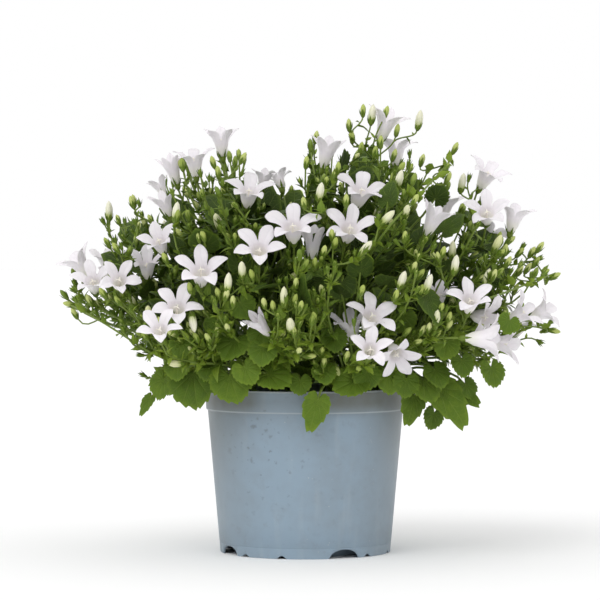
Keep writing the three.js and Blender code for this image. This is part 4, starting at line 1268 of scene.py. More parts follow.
def soilShape():
    # a crumbly top that swells towards the middle, over a plain body that fills the pot
    rings, columns, gap = soil["rings"], soil["columns"], soil["gap"]
    edge = potInside(soil["widest"]) - gap
    share = np.linspace(0, 1, rings)[:, None]
    turn = np.arange(columns)[None] * 2 * np.pi / columns
    x = share * edge * np.cos(turn)
    y = share * edge * np.sin(turn)
    rough = np.zeros_like(x)
    for wave, tall in soil["crumbs"]:
        phase = rng.uniform(0, anyTurn, (soil["waves"], 1, 1))
        way = rng.uniform(0, anyTurn, (soil["waves"], 1, 1))
        crests = np.sin((x * np.cos(way) + y * np.sin(way)) * (anyTurn / wave) + phase)
        rough += tall * crests.mean(0) * 2
    z = soil["top"] - soil["swell"] * share**2 + rough * smooth((1 - share) * 20)
    points = [np.stack([x, y, z], -1)]
    outer, high, inner, low = soil["floor"]
    side = [(edge - 0.2, 84.0), (potInside(40) - gap, 40.0), (potInside(high) - gap, high)]
    for r, h in (*side, (outer, high), (inner, low), (0.0, low)):
        points.append(np.stack([r * np.cos(turn), r * np.sin(turn), h + 0 * turn], -1))
    points = np.concatenate(points)
    kept, triangles = welded(points.reshape(-1, 3), gridTriangles(len(points), columns, True))
    shape = newShape()
    addTo(shape, points.reshape(-1, 3)[kept], triangles, np.zeros((len(kept), 3)), 0)
    return shape


def makePot():
    # the drain holes are cut at once, so that the piece keeps no modifier
    piece = writePiece("pot_shell", potShape(), [potMaterial()], ["pot"], sharp=38)
    cutter = writePiece("drain_rods", drainCutter(), [], [], sharp=50)
    cut = piece.modifiers.new("drains", "BOOLEAN")
    cut.object = cutter
    cut.operation = "DIFFERENCE"
    cut.solver = "EXACT"
    bpy.context.view_layer.update()
    whole = piece.evaluated_get(bpy.context.evaluated_depsgraph_get())
    made = bpy.data.meshes.new_from_object(whole)
    piece.modifiers.clear()
    piece.data = made
    bpy.data.objects.remove(cutter)
    writePiece("soil_bed", soilShape(), [soilMaterial()], ["soil"], sharp=60)


# flowers

flower = {
    "rows": (1.5, 3.2, 5.2, 7.4, 9.5, 11.2),  # heights of the tube's rows
    "floor": ((0.0, 1.0), (0.8, 0.7)),  # share of the base's radius, and height, of the lowest rows
    "normals": (1.5, 1.1, 0.3, 0.5),  # rise of the surface's normal on the floor, the tube and the ring
    "steps": (0.0, 0.06, 0.14, 0.24, 0.36, 0.48, 0.6, 0.72, 0.83, 0.92, 0.97, 1.0),  # the lobe's rows
    "columns": 9,
    "closedMouth": 0.75,
    "spread": (10, 68),  # degrees of a closed lobe, and added when it opens
    "firstLean": (20, 18),
    "free": 0.16,  # share of the lobe at which it is free of the ring
    "sideRise": 0.35,
    "lobeShares": (  # share of the length, and of the half width there
        (0, 0.12, 0.28, 0.45, 0.6, 0.74, 0.86, 0.94, 0.98, 1),
        (0.74, 0.82, 0.95, 1, 0.93, 0.74, 0.48, 0.26, 0.12, 0),
    ),
    "lean": (0.42, 0.85, 0.4),  # of an open lobe: at the mouth, gained to the tip, and the tip's curl
    "crease": 0.22,
    "wave": 0.5,
    "spreadVary": 9.0,
    "twistVary": 14.0,
    "driftVary": 1.3,
    "widths": (0.86, 1.06),
    "styleShares": (0.85, 1.1),  # of the tube's length
    "styleTips": (10, 130, 250),
    "boxSpare": 0.2,
}


def ringed(r, z, angle):
    # points at radii and heights by rows and at angles by columns
    return np.stack([r[:, None] * np.cos(angle), r[:, None] * np.sin(angle), z[:, None] + 0 * angle], -1)


def corolla(openness, vary):
    # five strips from the throat to the tips. In the tube a strip is its fifth of the ring. Past
    # the mouth its midline turns out by the spread and curls back, and its sides rise a little.
    mouth = bell["mouth"] * (flower["closedMouth"] + (1 - flower["closedMouth"]) * openness)
    w = np.linspace(-1, 1, flower["columns"])
    tubeZ = np.array(flower["rows"])
    swell = 0.35 * smooth(tubeZ / 6) + 0.65 * (tubeZ / bell["length"]) ** 1.5
    tubeR = bell["base"] + (mouth - bell["base"]) * swell
    lowR = np.array([share * bell["base"] for share, _ in flower["floor"]] + list(tubeR))
    lowZ = np.array([height for _, height in flower["floor"]] + list(tubeZ))
    first, second, tubeLean, ringLean = flower["normals"]
    lowLean = np.concatenate([[first, second], np.full(len(tubeZ), tubeLean)])
    t = np.array(flower["steps"])
    whole = bell["length"] + bell["lobe"]
    long = np.concatenate([[0, 0.02], tubeZ, bell["length"] + t * bell["lobe"]]) / whole
    closed, opened = flower["spread"]
    spread = math.radians(closed + opened * openness) + np.radians(vary["spread"])[:, None]
    closed, opened = flower["firstLean"]
    firstLean = math.radians(closed + opened * openness)
    near, gain, curl = flower["lean"]
    arched = spread * (near + gain * t) + curl * openness * t**4
    lean = mix(firstLean, arched, smooth(t / 0.12))
    stepLength = np.diff(t, prepend=0) * bell["lobe"]
    half = (lean + np.concatenate([lean[:, :1], lean[:, :-1]], 1)) / 2
    r = mouth + np.cumsum(np.sin(half) * stepLength, axis=1)
    z = bell["length"] + np.cumsum(np.cos(half) * stepLength, axis=1)
    sideShare = np.interp(t, *flower["lobeShares"])
    reach = bell["halfWidth"] * (0.8 + 0.2 * openness) * sideShare
    channel = mix(mouth * (1 - math.cos(math.pi / 5)), 0.25, smooth(t / 0.8)) * (0.45 + 0.55 * openness)
    loose = smooth(t / flower["free"])  # 0 on the ring, 1 where the lobe is free
    ringTurn = w * math.pi / 5
    points, normals, forms = [], [], []
    for i in range(5):
        middle = 2 * np.pi * i / 5
        angle = middle + ringTurn[None]
        tube = ringed(lowR, lowZ, angle)
        tubeNormal = ringed(-np.cos(lowLean), np.sin(lowLean), angle)
        out = np.array([math.cos(middle), math.sin(middle), 0])
        aside = np.array([-math.sin(middle), math.cos(middle), 0])
        inner = -np.cos(lean[i])[:, None] * out + np.sin(lean[i])[:, None] * up
        turn = np.radians(vary["twist"][i]) * t
        across = np.cos(turn)[:, None] * aside + np.sin(turn)[:, None] * inner
        rise = channel[:, None] * w**2 + flower["sideRise"] * np.abs(w) * (loose * sideShare)[:, None]
        rise = rise - flower["crease"] * (np.abs(w) < 0.1) * (loose * sideShare)[:, None]
        ripple = np.sin(6.5 * t[:, None] + vary["phase"][i] + 1.5 * np.sign(w)) * np.abs(w) ** 3
        rise = (rise + flower["wave"] * ripple * (loose * sideShare)[:, None])[..., None]
        line = r[i][:, None] * out + z[i][:, None] * up + (vary["drift"][i] * t**2)[:, None] * aside
        wide = (reach * vary["width"][i])[:, None] * w
        free = line[:, None] + wide[..., None] * across[:, None] + rise * inner[:, None]
        lobe = mix(ringed(r[i], z[i], angle), free, loose[:, None, None])
        bent = inner[:, None] + 0 * lobe
        ringNormal = ringed(np.array([-np.cos(ringLean)]), np.array([math.sin(ringLean)]), angle)
        bent = unit(mix(ringNormal + 0 * lobe, bent, loose[:, None, None]))
        points.append(np.concatenate([tube, lobe]))
        normals.append(np.concatenate([tubeNormal, bent]))
        forms.append(np.stack([w[None] + 0 * long[:, None], long[:, None] + 0 * w[None]], -1))
    points, normals, forms = np.array(points), np.array(normals), np.array(forms)
    rows = points.shape[1]
    inside = np.ones((rows, len(w)))
    free = np.arange(rows) > rows - len(t)
    inside[free, 0] = inside[free, -1] = 0
    inside[-1] = 0
    thick = (bell["thick"] / 2 * inside)[None, ..., None] * normals
    # the outer and the inner face, which meet at the lobes' margins
    grid = gridTriangles(rows, len(w))
    size = rows * len(w)
    sheets = np.concatenate([(points + thick).reshape(-1, 3), (points - thick).reshape(-1, 3)])
    triangles = np.concatenate([copies(grid[:, ::-1], 5, size), copies(grid, 5, size) + 5 * size])
    kept, triangles = welded(sheets, triangles)
    form = np.concatenate([forms.reshape(-1, 2)] * 2)[kept]
    return sheets[kept], triangles, np.column_stack([form, np.full(len(kept), vary["tone"])])


def placed(points, bloom):
    # from the bloom's own axes, with Z along it, to the plant's
    basis = np.array([bloom["first"], np.cross(bloom["axis"], bloom["first"]), bloom["axis"]])
    return points @ basis + bloom["base"]


def makeFlower(index, bloom):
    # a corolla and its style, in the place of its own solid or as a part of its spray
    openness = bloom["open"]
    vary = {
        "spread": rng.normal(0, flower["spreadVary"] * (0.4 + 0.6 * openness), 5),
        "twist": rng.normal(0, flower["twistVary"] * openness, 5),
        "drift": rng.normal(0, flower["driftVary"] * openness, 5),
        "phase": rng.uniform(0, anyTurn, 5),
        "width": rng.uniform(*flower["widths"], 5),
        "tone": rng.uniform(0, 1),
    }
    points, triangles, form = corolla(openness, vary)
    scale = bloom["size"]
    # lobes that pass the box of the solids are drawn back into it, and the tube stays
    points = placed(points * scale, bloom)
    spare = flower["boxSpare"]
    past = np.maximum(points.max(0) - boxHigh + spare, 0) - np.maximum(boxLow + spare - points.min(0), 0)
    points = points - past * form[:, 1:2]
    shape = newShape()
    addTo(shape, points, triangles, form, 0)
    # the style, with three curled tips
    tall = bell["length"] * scale * rng.uniform(*flower["styleShares"])
    tips = [np.array([math.cos(a), math.sin(a), 0]) for a in np.radians(flower["styleTips"])]
    line = [up * 1.2, up * tall * 0.4, up * tall * 0.7, up * tall]
    rows = [np.concatenate([*line, (0.55, 0.45, 0.5)])]
    for tip in tips:
        foot = up * (tall - 0.2)
        curl = [foot, foot + up * 1.2 + tip * 0.4, foot + up * 1.6 + tip * 1.5, foot + up * 0.5 + tip * 2.1]
        rows.append(np.concatenate([*curl, (0.42, 0.2, 0.5)]))
    rows = np.array(rows)
    controls = placed(rows[:, :12].reshape(-1, 3), bloom).reshape(-1, 12)
    stampTubes(shape, np.column_stack([controls, rows[:, 12:]]), 6, 6, 1)
    node = f"bloom_{index + 1:02d}" if bloom["own"] else f"spray_{bloom['stem'] + 1:02d}"
    writePiece(f"flower_{index + 1:02d}", shape, flowerMaterials, [node], sharp=70)


# foliage: branches, buds and leaves of each spray, first as rows of numbers and then as pieces

growth = {
    "fillBranches": 210,
    "fillShares": (0.8, 0.95),  # of the way to the mound's surface
    "fillHeights": (-0.42, 0.98),  # sines of the lowest and the highest rise
    "gapShare": 0.5,  # of the leaves and buds that are left out in a gap
    "seatReach": 70,  # of a bud's stalk at most
    "seats": 6,  # that a bud tries
    "bows": ((0, 0), (5, 0), (-5, 0), (10, 0), (-10, 0), (0, 8), (0, 16), (6, 12), (-6, 12), (0, 26)),
}

# first radius, last radius and tone of each kind of stalk
stalks = {
    "bloom": (0.85, 0.6, 0.5),
    "fill": (0.75, 0.5, 0.5),
    "cluster": (0.5, 0.62, 0.8),
    "seenFoot": (0.8, 0.7, 0.4),
    "seen": (0.7, 0.5, 0.6),
    "largeLeaf": (0.8, 0.7, 0.5),
    "heart": (0.75, 0.65, 0.4),
    "inner": (0.7, 0.6, 0.4),
}

stemLeaves = {
    "step": 4.0,  # along the branch
    "length": (12.0, 5.5),  # low on a branch, and near its tip
    "lengthVary": (0.8, 1.3),
    "width": (0.42, 0.2),  # in shares of the length
    "widthVary": (0.85, 1.15),
    "droop": (0.1, 0.5),
    "fold": (0.1, 0.4),
}

sepals = {
    "length": 5.2,
    "lengthVary": (0.88, 1.1),
    "droop": -0.12,
    "fold": 0.3,
    "young": (0.95, 16, 0.75),  # share of the length, flare, width
    "old": (1.0, 14, 0.85),
    "bloom": (6.5, 28, 0.75),  # length, flare, width
    "bloomRadius": 1.7,
    "back": 0.6,  # from a bloom's foot to its sepals
}

buds = {
    "sizes": ((4.6, 1.2), (8.0, 1.75), (12.8, 2.35)),  # length, radius
    "ages": (0.15, 0.5, 0.95),
    "youngRadius": 1.5,  # below which the sepals are young
    "cup": (0.6, 0.32, 0.92),  # depth below the bud, and shares of its length and radius
    "sepalRadius": 0.72,
    "bloomCup": (3.4, 4.4, 2.2),  # depth below the bloom, length, radius
    "neck": 3.3,  # from a bloom's foot to the end of its stalk
    "depthShare": 0.88,  # of the mound, for those of the photograph
    "smallDepthShare": 0.86,
    "back": 10,
    "backTurns": (3, 174),  # first turn, and all turns
    "backRises": (-22, 92),
    "backShares": (0.88, 0.98),
    "boxSpare": 0.6,
    "faceViewer": 15,
}

cluster = {
    "reach": (3, 9),
    "chances": (0.7, 0.28, 0.02),  # of each size of bud
    "sizeVary": (0.8, 1.1),
    "ages": ((0, 0.3), (0.15, 0.6), (0.6, 1)),
    "bractLeans": (0.6, 1.1),
    "bract": 7.5,
    "bractVary": (0.7, 1.2),
    "bractWidth": 0.24,  # in shares of its length
}

kinds = ("tubes", "stalks", "leaves", "rounds", "skirts", "hearts", "inners", "slivers", "buds", "cups")
sprays = [{kind: [] for kind in (*kinds, "paths")} for _ in stems]


def around(axis, turn):
    # a direction square to an axis, at a turn round it
    side = unit(np.cross(axis, [0.37, 0.91, 0.17]))
    return side * math.cos(turn) + np.cross(axis, side) * math.sin(turn)


def addTube(spray, controls, first, last, tone=0.5, kind="tubes"):
    # a stalk along a curve, from its first radius to its last
    sprays[spray][kind].append(np.concatenate([np.ravel(controls), (first, last, tone)]))


def addCup(spray, base, axis, length, radius, tone):
    # the green cup under a bud or a bloom
    sprays[spray]["cups"].append(np.concatenate([base, axis, (length, radius, tone)]))


def toneAt(point):
    # leaves deep inside the mound are painted dark as shade, and near its surface they are young and bright
    tone = mix(0.1, 0.85, (moundShare(point) - 0.45) / 0.5)
    return float(np.clip(tone, 0.05, 0.9) + rng.normal(0, 0.08))


def addLeaf(spray, base, tip, face, length, width, tone, droop=0.25, fold=0.25):
    # left out where it would hide a bloom, cross one or pass the outline, and half the times in a gap
    end = base + unit(tip) * length
    check = np.array([mix(base, end, 0.55), end])
    if inGaps(end) and rng.uniform() < growth["gapShare"]:
        return
    seen = insideBox(check).all() and insideOutline(check, 1).all()
    if seen and not hidesBloom(check, -3).any() and not inBlooms(check, -3).any():
        row = np.concatenate([base, unit(tip), face, (width, length, droop, fold, tone)])
        sprays[spray]["leaves"].append(row)


def addSepals(spray, base, axis, radius, length, flare, width, tone=0.6):
    # five narrow blades round an axis, leaning out by the flare
    spin = rng.uniform(0, anyTurn)
    droop, fold = sepals["droop"], sepals["fold"]
    for k in range(5):
        out = around(axis, spin + k * 2 * np.pi / 5)
        lean = math.radians(flare + rng.normal(0, 6))
        tip = axis * math.cos(lean) + out * math.sin(lean)
        face = axis * math.sin(lean) - out * math.cos(lean)
        long = length * rng.uniform(*sepals["lengthVary"])
        row = np.concatenate([base + out * radius, tip, face, (width, long, droop, fold, tone)])
        sprays[spray]["slivers"].append(row)


def addBud(spray, base, axis, length, radius, age):
    # a closed bud in its cup of sepals
    sprays[spray]["buds"].append(np.concatenate([base, axis, (length, radius, age)]))
    below, cupLength, cupRadius = buds["cup"]
    addCup(spray, base - axis * below, axis, length * cupLength, radius * cupRadius, 0.5)
    share, flare, width = sepals["young"] if radius < buds["youngRadius"] else sepals["old"]
    ring = radius * buds["sepalRadius"]
    addSepals(spray, base + axis * below, axis, ring, sepals["length"] * share, flare, width)


def dressBranch(spray, controls, low=0.25, high=0.96, scale=1.0):
    # leaves along a branch by turns of the golden angle, smaller and narrower towards its tip
    path = bezier([controls], 40)[0]
    reach = np.linalg.norm(np.diff(path, axis=0), axis=1).sum()
    count = max(2, int(reach * (high - low) / stemLeaves["step"]))
    turn = rng.uniform(0, anyTurn)
    for k in range(count):
        share = mix(low, high, (k + rng.uniform(0, 0.6)) / count)
        i = int(share * 38)
        ahead = unit(path[i + 1] - path[i])
        turn += goldenTurn
        out = around(ahead, turn)
        tip = unit(out * 0.95 + ahead * 0.6 + up * 0.2 + rng.normal(0, 0.12, 3))
        face = unit(ahead + up * 0.6)
        length = scale * mix(*stemLeaves["length"], share) * rng.uniform(*stemLeaves["lengthVary"])
        width = length * mix(*stemLeaves["width"], share) * rng.uniform(*stemLeaves["widthVary"])
        tone = toneAt(path[i]) + 0.1 * share
        droop, fold = rng.uniform(*stemLeaves["droop"]), rng.uniform(*stemLeaves["fold"])
        addLeaf(spray, path[i], tip, face, length, width, tone, droop, fold)


def growCluster(spray, controls, count, low=0.55, high=0.95):
    # short stalks with small buds, each from the foot of a narrow bract
    path = bezier([controls], 40)[0]
    turn = rng.uniform(0, anyTurn)
    for _ in range(count):
        i = int(rng.uniform(low, high) * 38)
        ahead = unit(path[i + 1] - path[i])
        turn += goldenTurn
        out = around(ahead, turn)
        way = unit(ahead * 0.75 + out * 0.6 + up * 0.25)
        reach = rng.uniform(*cluster["reach"])
        size = int(rng.choice([0, 1, 2], p=cluster["chances"]))
        length, radius = np.array(buds["sizes"][size]) * rng.uniform(*cluster["sizeVary"])
        axis = unit(way + ahead * 0.5 + up * 0.3)
        base = path[i] + way * reach
        tip = base + axis * length
        ends = np.array([base, tip])
        if not insideBox(tip) or not insideOutline(tip[None], 1)[0]:
            continue
        if hidesBloom(ends).any() or inBlooms(ends, 0).any():
            continue
        if inGaps(tip) and rng.uniform() < growth["gapShare"]:
            continue
        stalk = [path[i], path[i] + way * reach * 0.4, base - axis * reach * 0.35, base]
        addTube(spray, stalk, *stalks["cluster"], "stalks")
        age = [rng.uniform(*ages) for ages in cluster["ages"]][size]
        addBud(spray, base, axis, length, radius, age)
        for lean in cluster["bractLeans"]:
            long = cluster["bract"] * rng.uniform(*cluster["bractVary"])
            tip, tone = unit(out * lean + ahead * 0.8), toneAt(path[i]) + 0.15
            addLeaf(spray, path[i], tip, unit(ahead), long, long * cluster["bractWidth"], tone)


def growBlooms():
    # a leafy branch from its spray's stem to each bloom, with the bloom's cup and sepals
    for n, bloom in enumerate(blooms):
        spray, base, axis = bloom["stem"], bloom["base"], bloom["axis"]
        stem = stems[spray]
        start = mix(stem["middle"], stem["hub"], 0.3 + 0.65 * ((n * golden) % 1))
        neck = base - axis * buds["neck"]
        controls = branchControls(start, neck, axis, clearBow(start, neck, axis, n))
        addTube(spray, controls, *stalks["bloom"])
        below, length, radius = buds["bloomCup"]
        addCup(spray, base - axis * below, axis, length, radius, 0.6)
        ring = base - axis * sepals["back"]
        addSepals(spray, ring, axis, sepals["bloomRadius"], *sepals["bloom"])
        sprays[spray]["paths"].append(controls)
        dressBranch(spray, controls)
        growCluster(spray, controls, 5, 0.4, 0.85)


def seatFor(spray, base, axis):
    # a stalk from the branch point that it can leave at a slant and still rise along its axis,
    # bowed aside where it would pass before a bloom
    best = 1e9
    stem = stems[spray]
    between = [mix(stem["middle"], stem["hub"], share) for share in (0.4, 0.7)]
    lower = np.array([stem["middle"], *between, stem["hub"]])
    seats = []
    for controls in [*(path for data in sprays for path in data["paths"]), lower]:
        if np.linalg.norm(base - controls[3]) > growth["seatReach"]:
            continue
        path = bezier([controls], 22)[0]
        ahead = unit(np.gradient(path, axis=0))[6:20]
        path = path[6:20]
        reach = np.linalg.norm(base - path, axis=1)
        way = unit(base - path)
        cost = reach * (2.2 - 0.7 * (way * ahead).sum(1) - 0.5 * way @ axis) + 60 * (reach < 7)
        cost = cost + reach * np.maximum(0.3 - way[:, 2], 0)
        k = int(np.argmin(cost))
        seats.append((cost[k], path[k], ahead[k]))
    seats.sort(key=lambda seat: seat[0])
    for cost, start, ahead in seats[: growth["seats"]]:
        reach = np.linalg.norm(base - start)
        side = unit(np.cross(base - start, up))
        for bow, back in growth["bows"]:
            aside = side * bow + np.array([0, back, 0])
            first = start + unit(ahead + unit(base - start)) * reach * 0.35 + aside
            controls = np.array([start, first, base - axis * 0.35 * reach + aside * 0.6, base])
            path = bezier([controls], 14)[0]
            crossed = hidesBloom(path, -4).sum() + inBlooms(path, -1).any(1).sum()
            total = cost + abs(bow) + 0.6 * back + 14 * crossed
            if total < best:
                best, found = total, controls
    return found


def growBud(middle, size, axis, age):
    # a bud inside the box of the solids, on a stalk that bears leaves and more buds if it is long
    spray = nearestStem(middle)
    length, radius = buds["sizes"][size]
    tip = middle + axis * length / 2
    spare = buds["boxSpare"]
    middle = middle + np.clip(tip, boxLow + spare, boxHigh - spare) - tip
    base = middle - axis * length / 2
    controls = seatFor(spray, base, axis)
    reach = np.linalg.norm(base - controls[0])
    addTube(spray, controls, 0.42 + 0.004 * reach, 0.48, 0.6)
    addBud(spray, base, axis, length, radius, age)
    if reach > 9:
        dressBranch(spray, controls, 0.12, 0.95, 0.7)
    if reach > 20:
        growCluster(spray, controls, 2, 0.6, 0.95)
        sprays[spray]["paths"].append(controls)


def growBuds():
    # the buds of the photograph, a spiral of others up the mound's back, and the small ones
    ages, back = buds["ages"], buds["back"]
    for place in budPlaces:
        middle = spot(place, moundDepth(place, buds["depthShare"]))
        out = unit(unit(middle - crown) + np.array([draw(-0.3, 0.3), draw(-0.4, 0), 0.6]))
        axis = pictureAxis(place[3], buds["faceViewer"]) if len(place) > 3 else out
        growBud(middle, place[2], axis, ages[place[2]] * rng.uniform(0.8, 1.05))
    firstTurn, turns = buds["backTurns"]
    lowest, rises = buds["backRises"]
    for i in range(back):
        turn = firstTurn + turns * ((i * golden + 0.3) % 1)
        middle = moundPoint(turn, lowest + rises * (i + 0.5) / back, draw(*buds["backShares"]))
        axis = unit(unit(middle - crown) + np.array([draw(-0.3, 0.3), draw(-0.2, 0.2), 0.6]))
        size = int(draw(0.3, 2.99))
        if not inBlooms(middle[None], 3).any():
            growBud(middle, size, axis, ages[size])
    for place in smallBudPlaces:
        middle = spot(place, moundDepth(place, buds["smallDepthShare"]))
        out = unit(unit(middle - crown) + np.array([rng.uniform(-0.3, 0.3), rng.uniform(-0.3, 0), 0.6]))
        axis = pictureAxis(place[3], buds["faceViewer"]) if len(place) > 3 else out
        growBud(middle, place[2], axis, ages[place[2]] * rng.uniform(0.6, 1.1))


def growSeenStems():
    # the few bare stems that the photograph shows, each joined to its spray's own stem
    for places in stemPlaces:
        line = np.array([spot(place, moundDepth(place, 0.9)) for place in places])
        spray = nearestStem(line[3])
        start = mix(stems[spray]["middle"], stems[spray]["hub"], 0.5)
        lower = branchControls(start, line[0], unit(line[1] - line[0]), 0)
        addTube(spray, lower, *stalks["seenFoot"])
        addTube(spray, line, *stalks["seen"])
        dressBranch(spray, line, 0.2, 0.97, 0.7)
        growCluster(spray, line, 5, 0.3, 0.95)
        sprays[spray]["paths"].append(line)


def growFill():
    # branches to points spread evenly over the mound, where no bloom has its place
    count = growth["fillBranches"]
    made = 0
    for i in range(count * 2):
        rise = math.degrees(math.asin(mix(*growth["fillHeights"], (i + 0.5) / (count * 2))))
        turn = 360 * ((i * golden) % 1)
        end = moundPoint(turn, rise, rng.uniform(*growth["fillShares"]))
        hides = inBlooms(end[None], 3).any() or hidesBloom(end[None]).any()
        if hides or not insideOutline(end[None], 5)[0] or (inGaps(end) and i % 3):
            continue
        spray = nearestStem(end)
        stem = stems[spray]
        start = mix(stem["middle"], stem["hub"], rng.uniform(0.2, 1))
        axis = unit(unit(end - crown) + up * 0.5 + rng.normal(0, 0.2, 3))
        controls = branchControls(start, end, axis, rng.uniform(-8, 8))
        path = bezier([controls], 24)[0][4:]
        if inBlooms(path, -1).any() or hidesBloom(path[-6:]).any():
            continue
        addTube(spray, controls, *stalks["fill"])
        length, radius = np.array(buds["sizes"][i % 2]) * rng.uniform(0.85, 1.05)
        addBud(spray, end, axis, length, radius, rng.uniform(0, 0.5))
        dressBranch(spray, controls)
        growCluster(spray, controls, 5, 0.45, 0.97)
        sprays[spray]["paths"].append(controls)
        made += 1
    print("fill branches:", made)


seenLeaves = {
    "faceViewer": 1.0,  # how far they turn to the viewer
    "shadeRow": 300,  # pixel row above which they stand in the shade of the sprays
    "tone": (0.38, 0.6),
    "shadeTone": (0.03, 0.15),
    "rimSpare": 6,  # of a stalk over the pot's rim
}

backLeaves = {
    "count": 9,
    "turns": (4, 172),  # first turn, and all turns
    "reach": (68, 84),
    "height": (88, 108),
    "fall": (-0.9, -0.4),
    "width": (17, 28),
    "tone": (0.35, 0.6),
}

skirt = {
    "count": 70,
    "reach": (34, 84),
    "height": (100, 128),
    "fall": (-0.7, 0.1),
    "width": (15, 25),
    "tone": (0.2, 0.5),
}

hearts = {
    "count": 26,
    "turns": (-25, 230),
    "rises": (-8, 80),
    "shares": (0.64, 0.2),  # of the way to the mound's surface, least and added
    "width": (19, 6),
    "tone": (0.03, 0.15),
    "tries": 12,  # steps towards the stem until the leaf hides nothing
    "tryStep": 0.06,
    "topRoom": 26,  # pixels
}

innerLeaves = {
    "count": 300,
    "heights": (-0.3, 0.95),  # sines of the lowest and the highest rise
    "shares": (0.35, 0.84),
    "width": (12, 21),
    "shade": 0.2,
    "topRoom": 36,
}


def addRound(spray, base, tip, face, width, tone, kind, longer=1.0):
    # a kidney or heart leaf by its base and the way of its tip
    row = np.concatenate([base, unit(tip), unit(face), (width, width * longer, 0.2, 0.12, tone)])
    sprays[spray][kind].append(row)


def growLargeLeaf(middle, width, tip, face, tone, kind="rounds", longer=1.0):
    # a leaf with its middle at a place, on a stalk from low on its stem that clears the pot's rim
    spray = nearestStem(middle)
    start = mix(stems[spray]["foot"], stems[spray]["middle"], 0.7)
    base = middle - tip * 0.45 * 0.88 * width
    reach = np.linalg.norm(base - start)
    rise = mix(start + up * 0.45 * reach, base, 0.25)
    before = base - tip * 0.25 * reach
    before[2] = max(before[2], pot["height"] + seenLeaves["rimSpare"])
    addTube(spray, [start, rise, before, base], *stalks["largeLeaf"])
    addRound(spray, base, tip, face, width, tone, kind, longer)


def growSeenLeaves():
    # the large leaves of the photograph, their faces turned up and to the viewer
    for px, py, y, width, lean, dip, turnUp, *longer in leafPlaces + moreLeafPlaces:
        middle = spot((px, py), y)
        tip = pictureAxis(lean, dip)
        a = math.radians(turnUp)
        out = unit(unit(middle * [1, 1, 0]) + [0, -seenLeaves["faceViewer"], 0])
        face = out * math.cos(a) + up * math.sin(a)
        kind = "hearts" if longer else "rounds"
        tone = rng.uniform(*seenLeaves["tone" if py > seenLeaves["shadeRow"] else "shadeTone"])
        growLargeLeaf(middle, width, tip, face, tone, kind, *longer)


def growBackLeaves():
    # round leaves behind, over the rim
    firstTurn, turns = backLeaves["turns"]
    for i in range(backLeaves["count"]):
        a = math.radians(firstTurn + turns * (i + 0.5) / backLeaves["count"])
        out = np.array([math.cos(a), math.sin(a), 0])
        middle = out * draw(*backLeaves["reach"])
        middle[2] = draw(*backLeaves["height"])
        tip = unit(out * 0.6 + up * draw(*backLeaves["fall"]))
        width, tone = draw(*backLeaves["width"]), rng.uniform(*backLeaves["tone"])
        growLargeLeaf(middle, width, tip, unit(out + up * 0.7), tone)


def growSkirt():
    # a skirt of leaves over the rim, all round
    for i in range(skirt["count"]):
        a = 2 * np.pi * ((i * golden) % 1)
        out = np.array([math.cos(a), math.sin(a), 0])
        middle = out * rng.uniform(*skirt["reach"])
        middle[2] = rng.uniform(*skirt["height"])
        tip = unit(out + up * rng.uniform(*skirt["fall"]) + rng.normal(0, 0.25, 3))
        width = rng.uniform(*skirt["width"])
        check = np.array([middle, middle + tip * width * 0.5])
        if insideOutline(check, 2).all() and not hidesBloom(check).any():
            tone = rng.uniform(*skirt["tone"])
            growLargeLeaf(middle, width, tip, unit(out * 0.6 + up), tone, "skirts")


def growHearts():
    # heart-shaped leaves on straight stalks from the upper half of the stems
    count = hearts["count"]
    firstTurn, turns = hearts["turns"]
    lowest, rises = hearts["rises"]
    least, more = hearts["shares"]
    narrow, wider = hearts["width"]
    for i in range(count):
        share, loose, spread = (i + 0.5) / count, (i * golden) % 1, (i * 5 * golden) % 1
        place = moundPoint(firstTurn + turns * loose, lowest + rises * share, least + more * spread)
        spray = nearestStem(place)
        out = unit(place - crown)
        tip = unit(out + unit(np.cross(out, up)) * 1.4 * (loose - 0.5))
        for step in range(hearts["tries"]):
            middle = mix(place, stems[spray]["hub"], hearts["tryStep"] * step)
            check = np.array([middle, middle + tip * 14])
            clear = underTop(check, hearts["topRoom"]).all() and not inGaps(check).any()
            if clear and not hidesBloom(check).any() and not inBlooms(check, -3).any():
                break
        start = mix(stems[spray]["middle"], stems[spray]["hub"], 0.35 + 0.5 * spread)
        stalk = [start, mix(start, middle, 0.33), mix(start, middle, 0.67), middle]
        addTube(spray, stalk, *stalks["heart"])
        face, width = unit(out * 0.9 + up * 0.8), narrow + wider * spread
        addRound(spray, middle, tip, face, width, rng.uniform(*hearts["tone"]), "inners")


def growInnerLeaves():
    # more of them deeper in the mound, on short stalks
    count = innerLeaves["count"]
    for i in range(count):
        rise = math.degrees(math.asin(mix(*innerLeaves["heights"], (i + 0.5) / count)))
        turn = 360 * ((i * golden + 0.4) % 1)
        middle = moundPoint(turn, rise, rng.uniform(*innerLeaves["shares"]))
        spray = nearestStem(middle)
        stem = stems[spray]
        start = mix(stem["middle"], stem["hub"], rng.uniform(0, 1))
        out = unit(middle - crown)
        tip = unit(out * 0.7 + rng.normal(0, 0.5, 3) + up * 0.1)
        width = rng.uniform(*innerLeaves["width"])
        check = np.array([middle, middle + tip * width * 0.8])
        if inBlooms(check, -1).any() or hidesBloom(check).any() or not insideOutline(check, 3).all():
            continue
        if not underTop(check, innerLeaves["topRoom"]).all() or inGaps(check).any():
            continue
        reach = np.linalg.norm(middle - start)
        stalk = [start, mix(start, middle, 0.3) + up * 3, middle - tip * 0.3 * reach, middle]
        addTube(spray, stalk, *stalks["inner"])
        face = unit(out * 0.4 + up * 0.9 + rng.normal(0, 0.2, 3))
        addRound(spray, middle, tip, face, width, toneAt(middle) * innerLeaves["shade"], "inners")


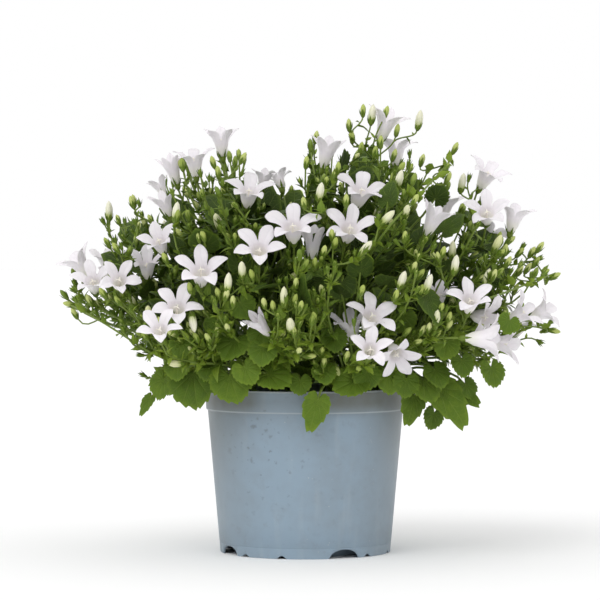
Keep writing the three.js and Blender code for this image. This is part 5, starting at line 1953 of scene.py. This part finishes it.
templates = {
    "leaves": stemLeafTemplate(),
    "slivers": sliverTemplate(),
    "rounds": roundLeafTemplate("kidney", 91, 6, 9, 0.09),
    "skirts": roundLeafTemplate("kidney", 61, 5, 7, 0.1),
    "inners": roundLeafTemplate("heart", 31, 4, 5, 0.12),
    "hearts": roundLeafTemplate("heart", 57, 5, 6, 0.12),
    "cups": turnedTemplate([(0, 0), (0.02, 0.34), (0.45, 0.86), (1, 0.98), (0.99, 0)], 6),
    "buds": turnedTemplate([(0, 0), (0.04, 0.6), (0.35, 0.95), (0.62, 0.97), (0.86, 0.6), (1, 0)], 7),
}


def makeSprays():
    # each spray's stem, and the rows of its stalks, leaves, cups and buds, as one piece
    for i, stem in enumerate(stems):
        data = sprays[i]
        shape = newShape()
        bends = [mix(stem[end], stem["bend"], 2 / 3) for end in ("foot", "hub")]
        main = np.concatenate([stem["foot"], *bends, stem["hub"], (*stemPlan["radii"], 0.3)])
        stampTubes(shape, [main], 14, 8, stemSkin)
        stampTubes(shape, data["tubes"], 8, 5, stemSkin)
        stampBlades(shape, templates["leaves"], data["leaves"], stemLeaf)
        stampBlades(shape, templates["slivers"], data["slivers"], stemLeaf, 0.25)
        stampTubes(shape, data["stalks"], 5, 4, stemSkin)
        for kind in ("rounds", "skirts", "inners", "hearts"):
            stampBlades(shape, templates[kind], data[kind], roundLeaf, 0.35, 0.05)
        stampTurned(shape, templates["cups"], data["cups"], stemSkin)
        stampTurned(shape, templates["buds"], data["buds"], budSkin)
        name = f"{i + 1:02d}"
        writePiece(f"foliage_{name}", shape, plantMaterials, [f"spray_{name}"], sharp=70)
    counts = {kind: sum(len(data[kind]) for data in sprays) for kind in kinds}
    print("foliage made:", counts)


addCamera()
addStudio()
makePot()
print("pot and soil made")
growBlooms()
growSeenStems()
growBuds()
growFill()
growSeenLeaves()
growBackLeaves()
growSkirt()
growHearts()
growInnerLeaves()
makeSprays()
for index, bloom in enumerate(blooms):
    makeFlower(index, bloom)
print("flowers made:", len(blooms))
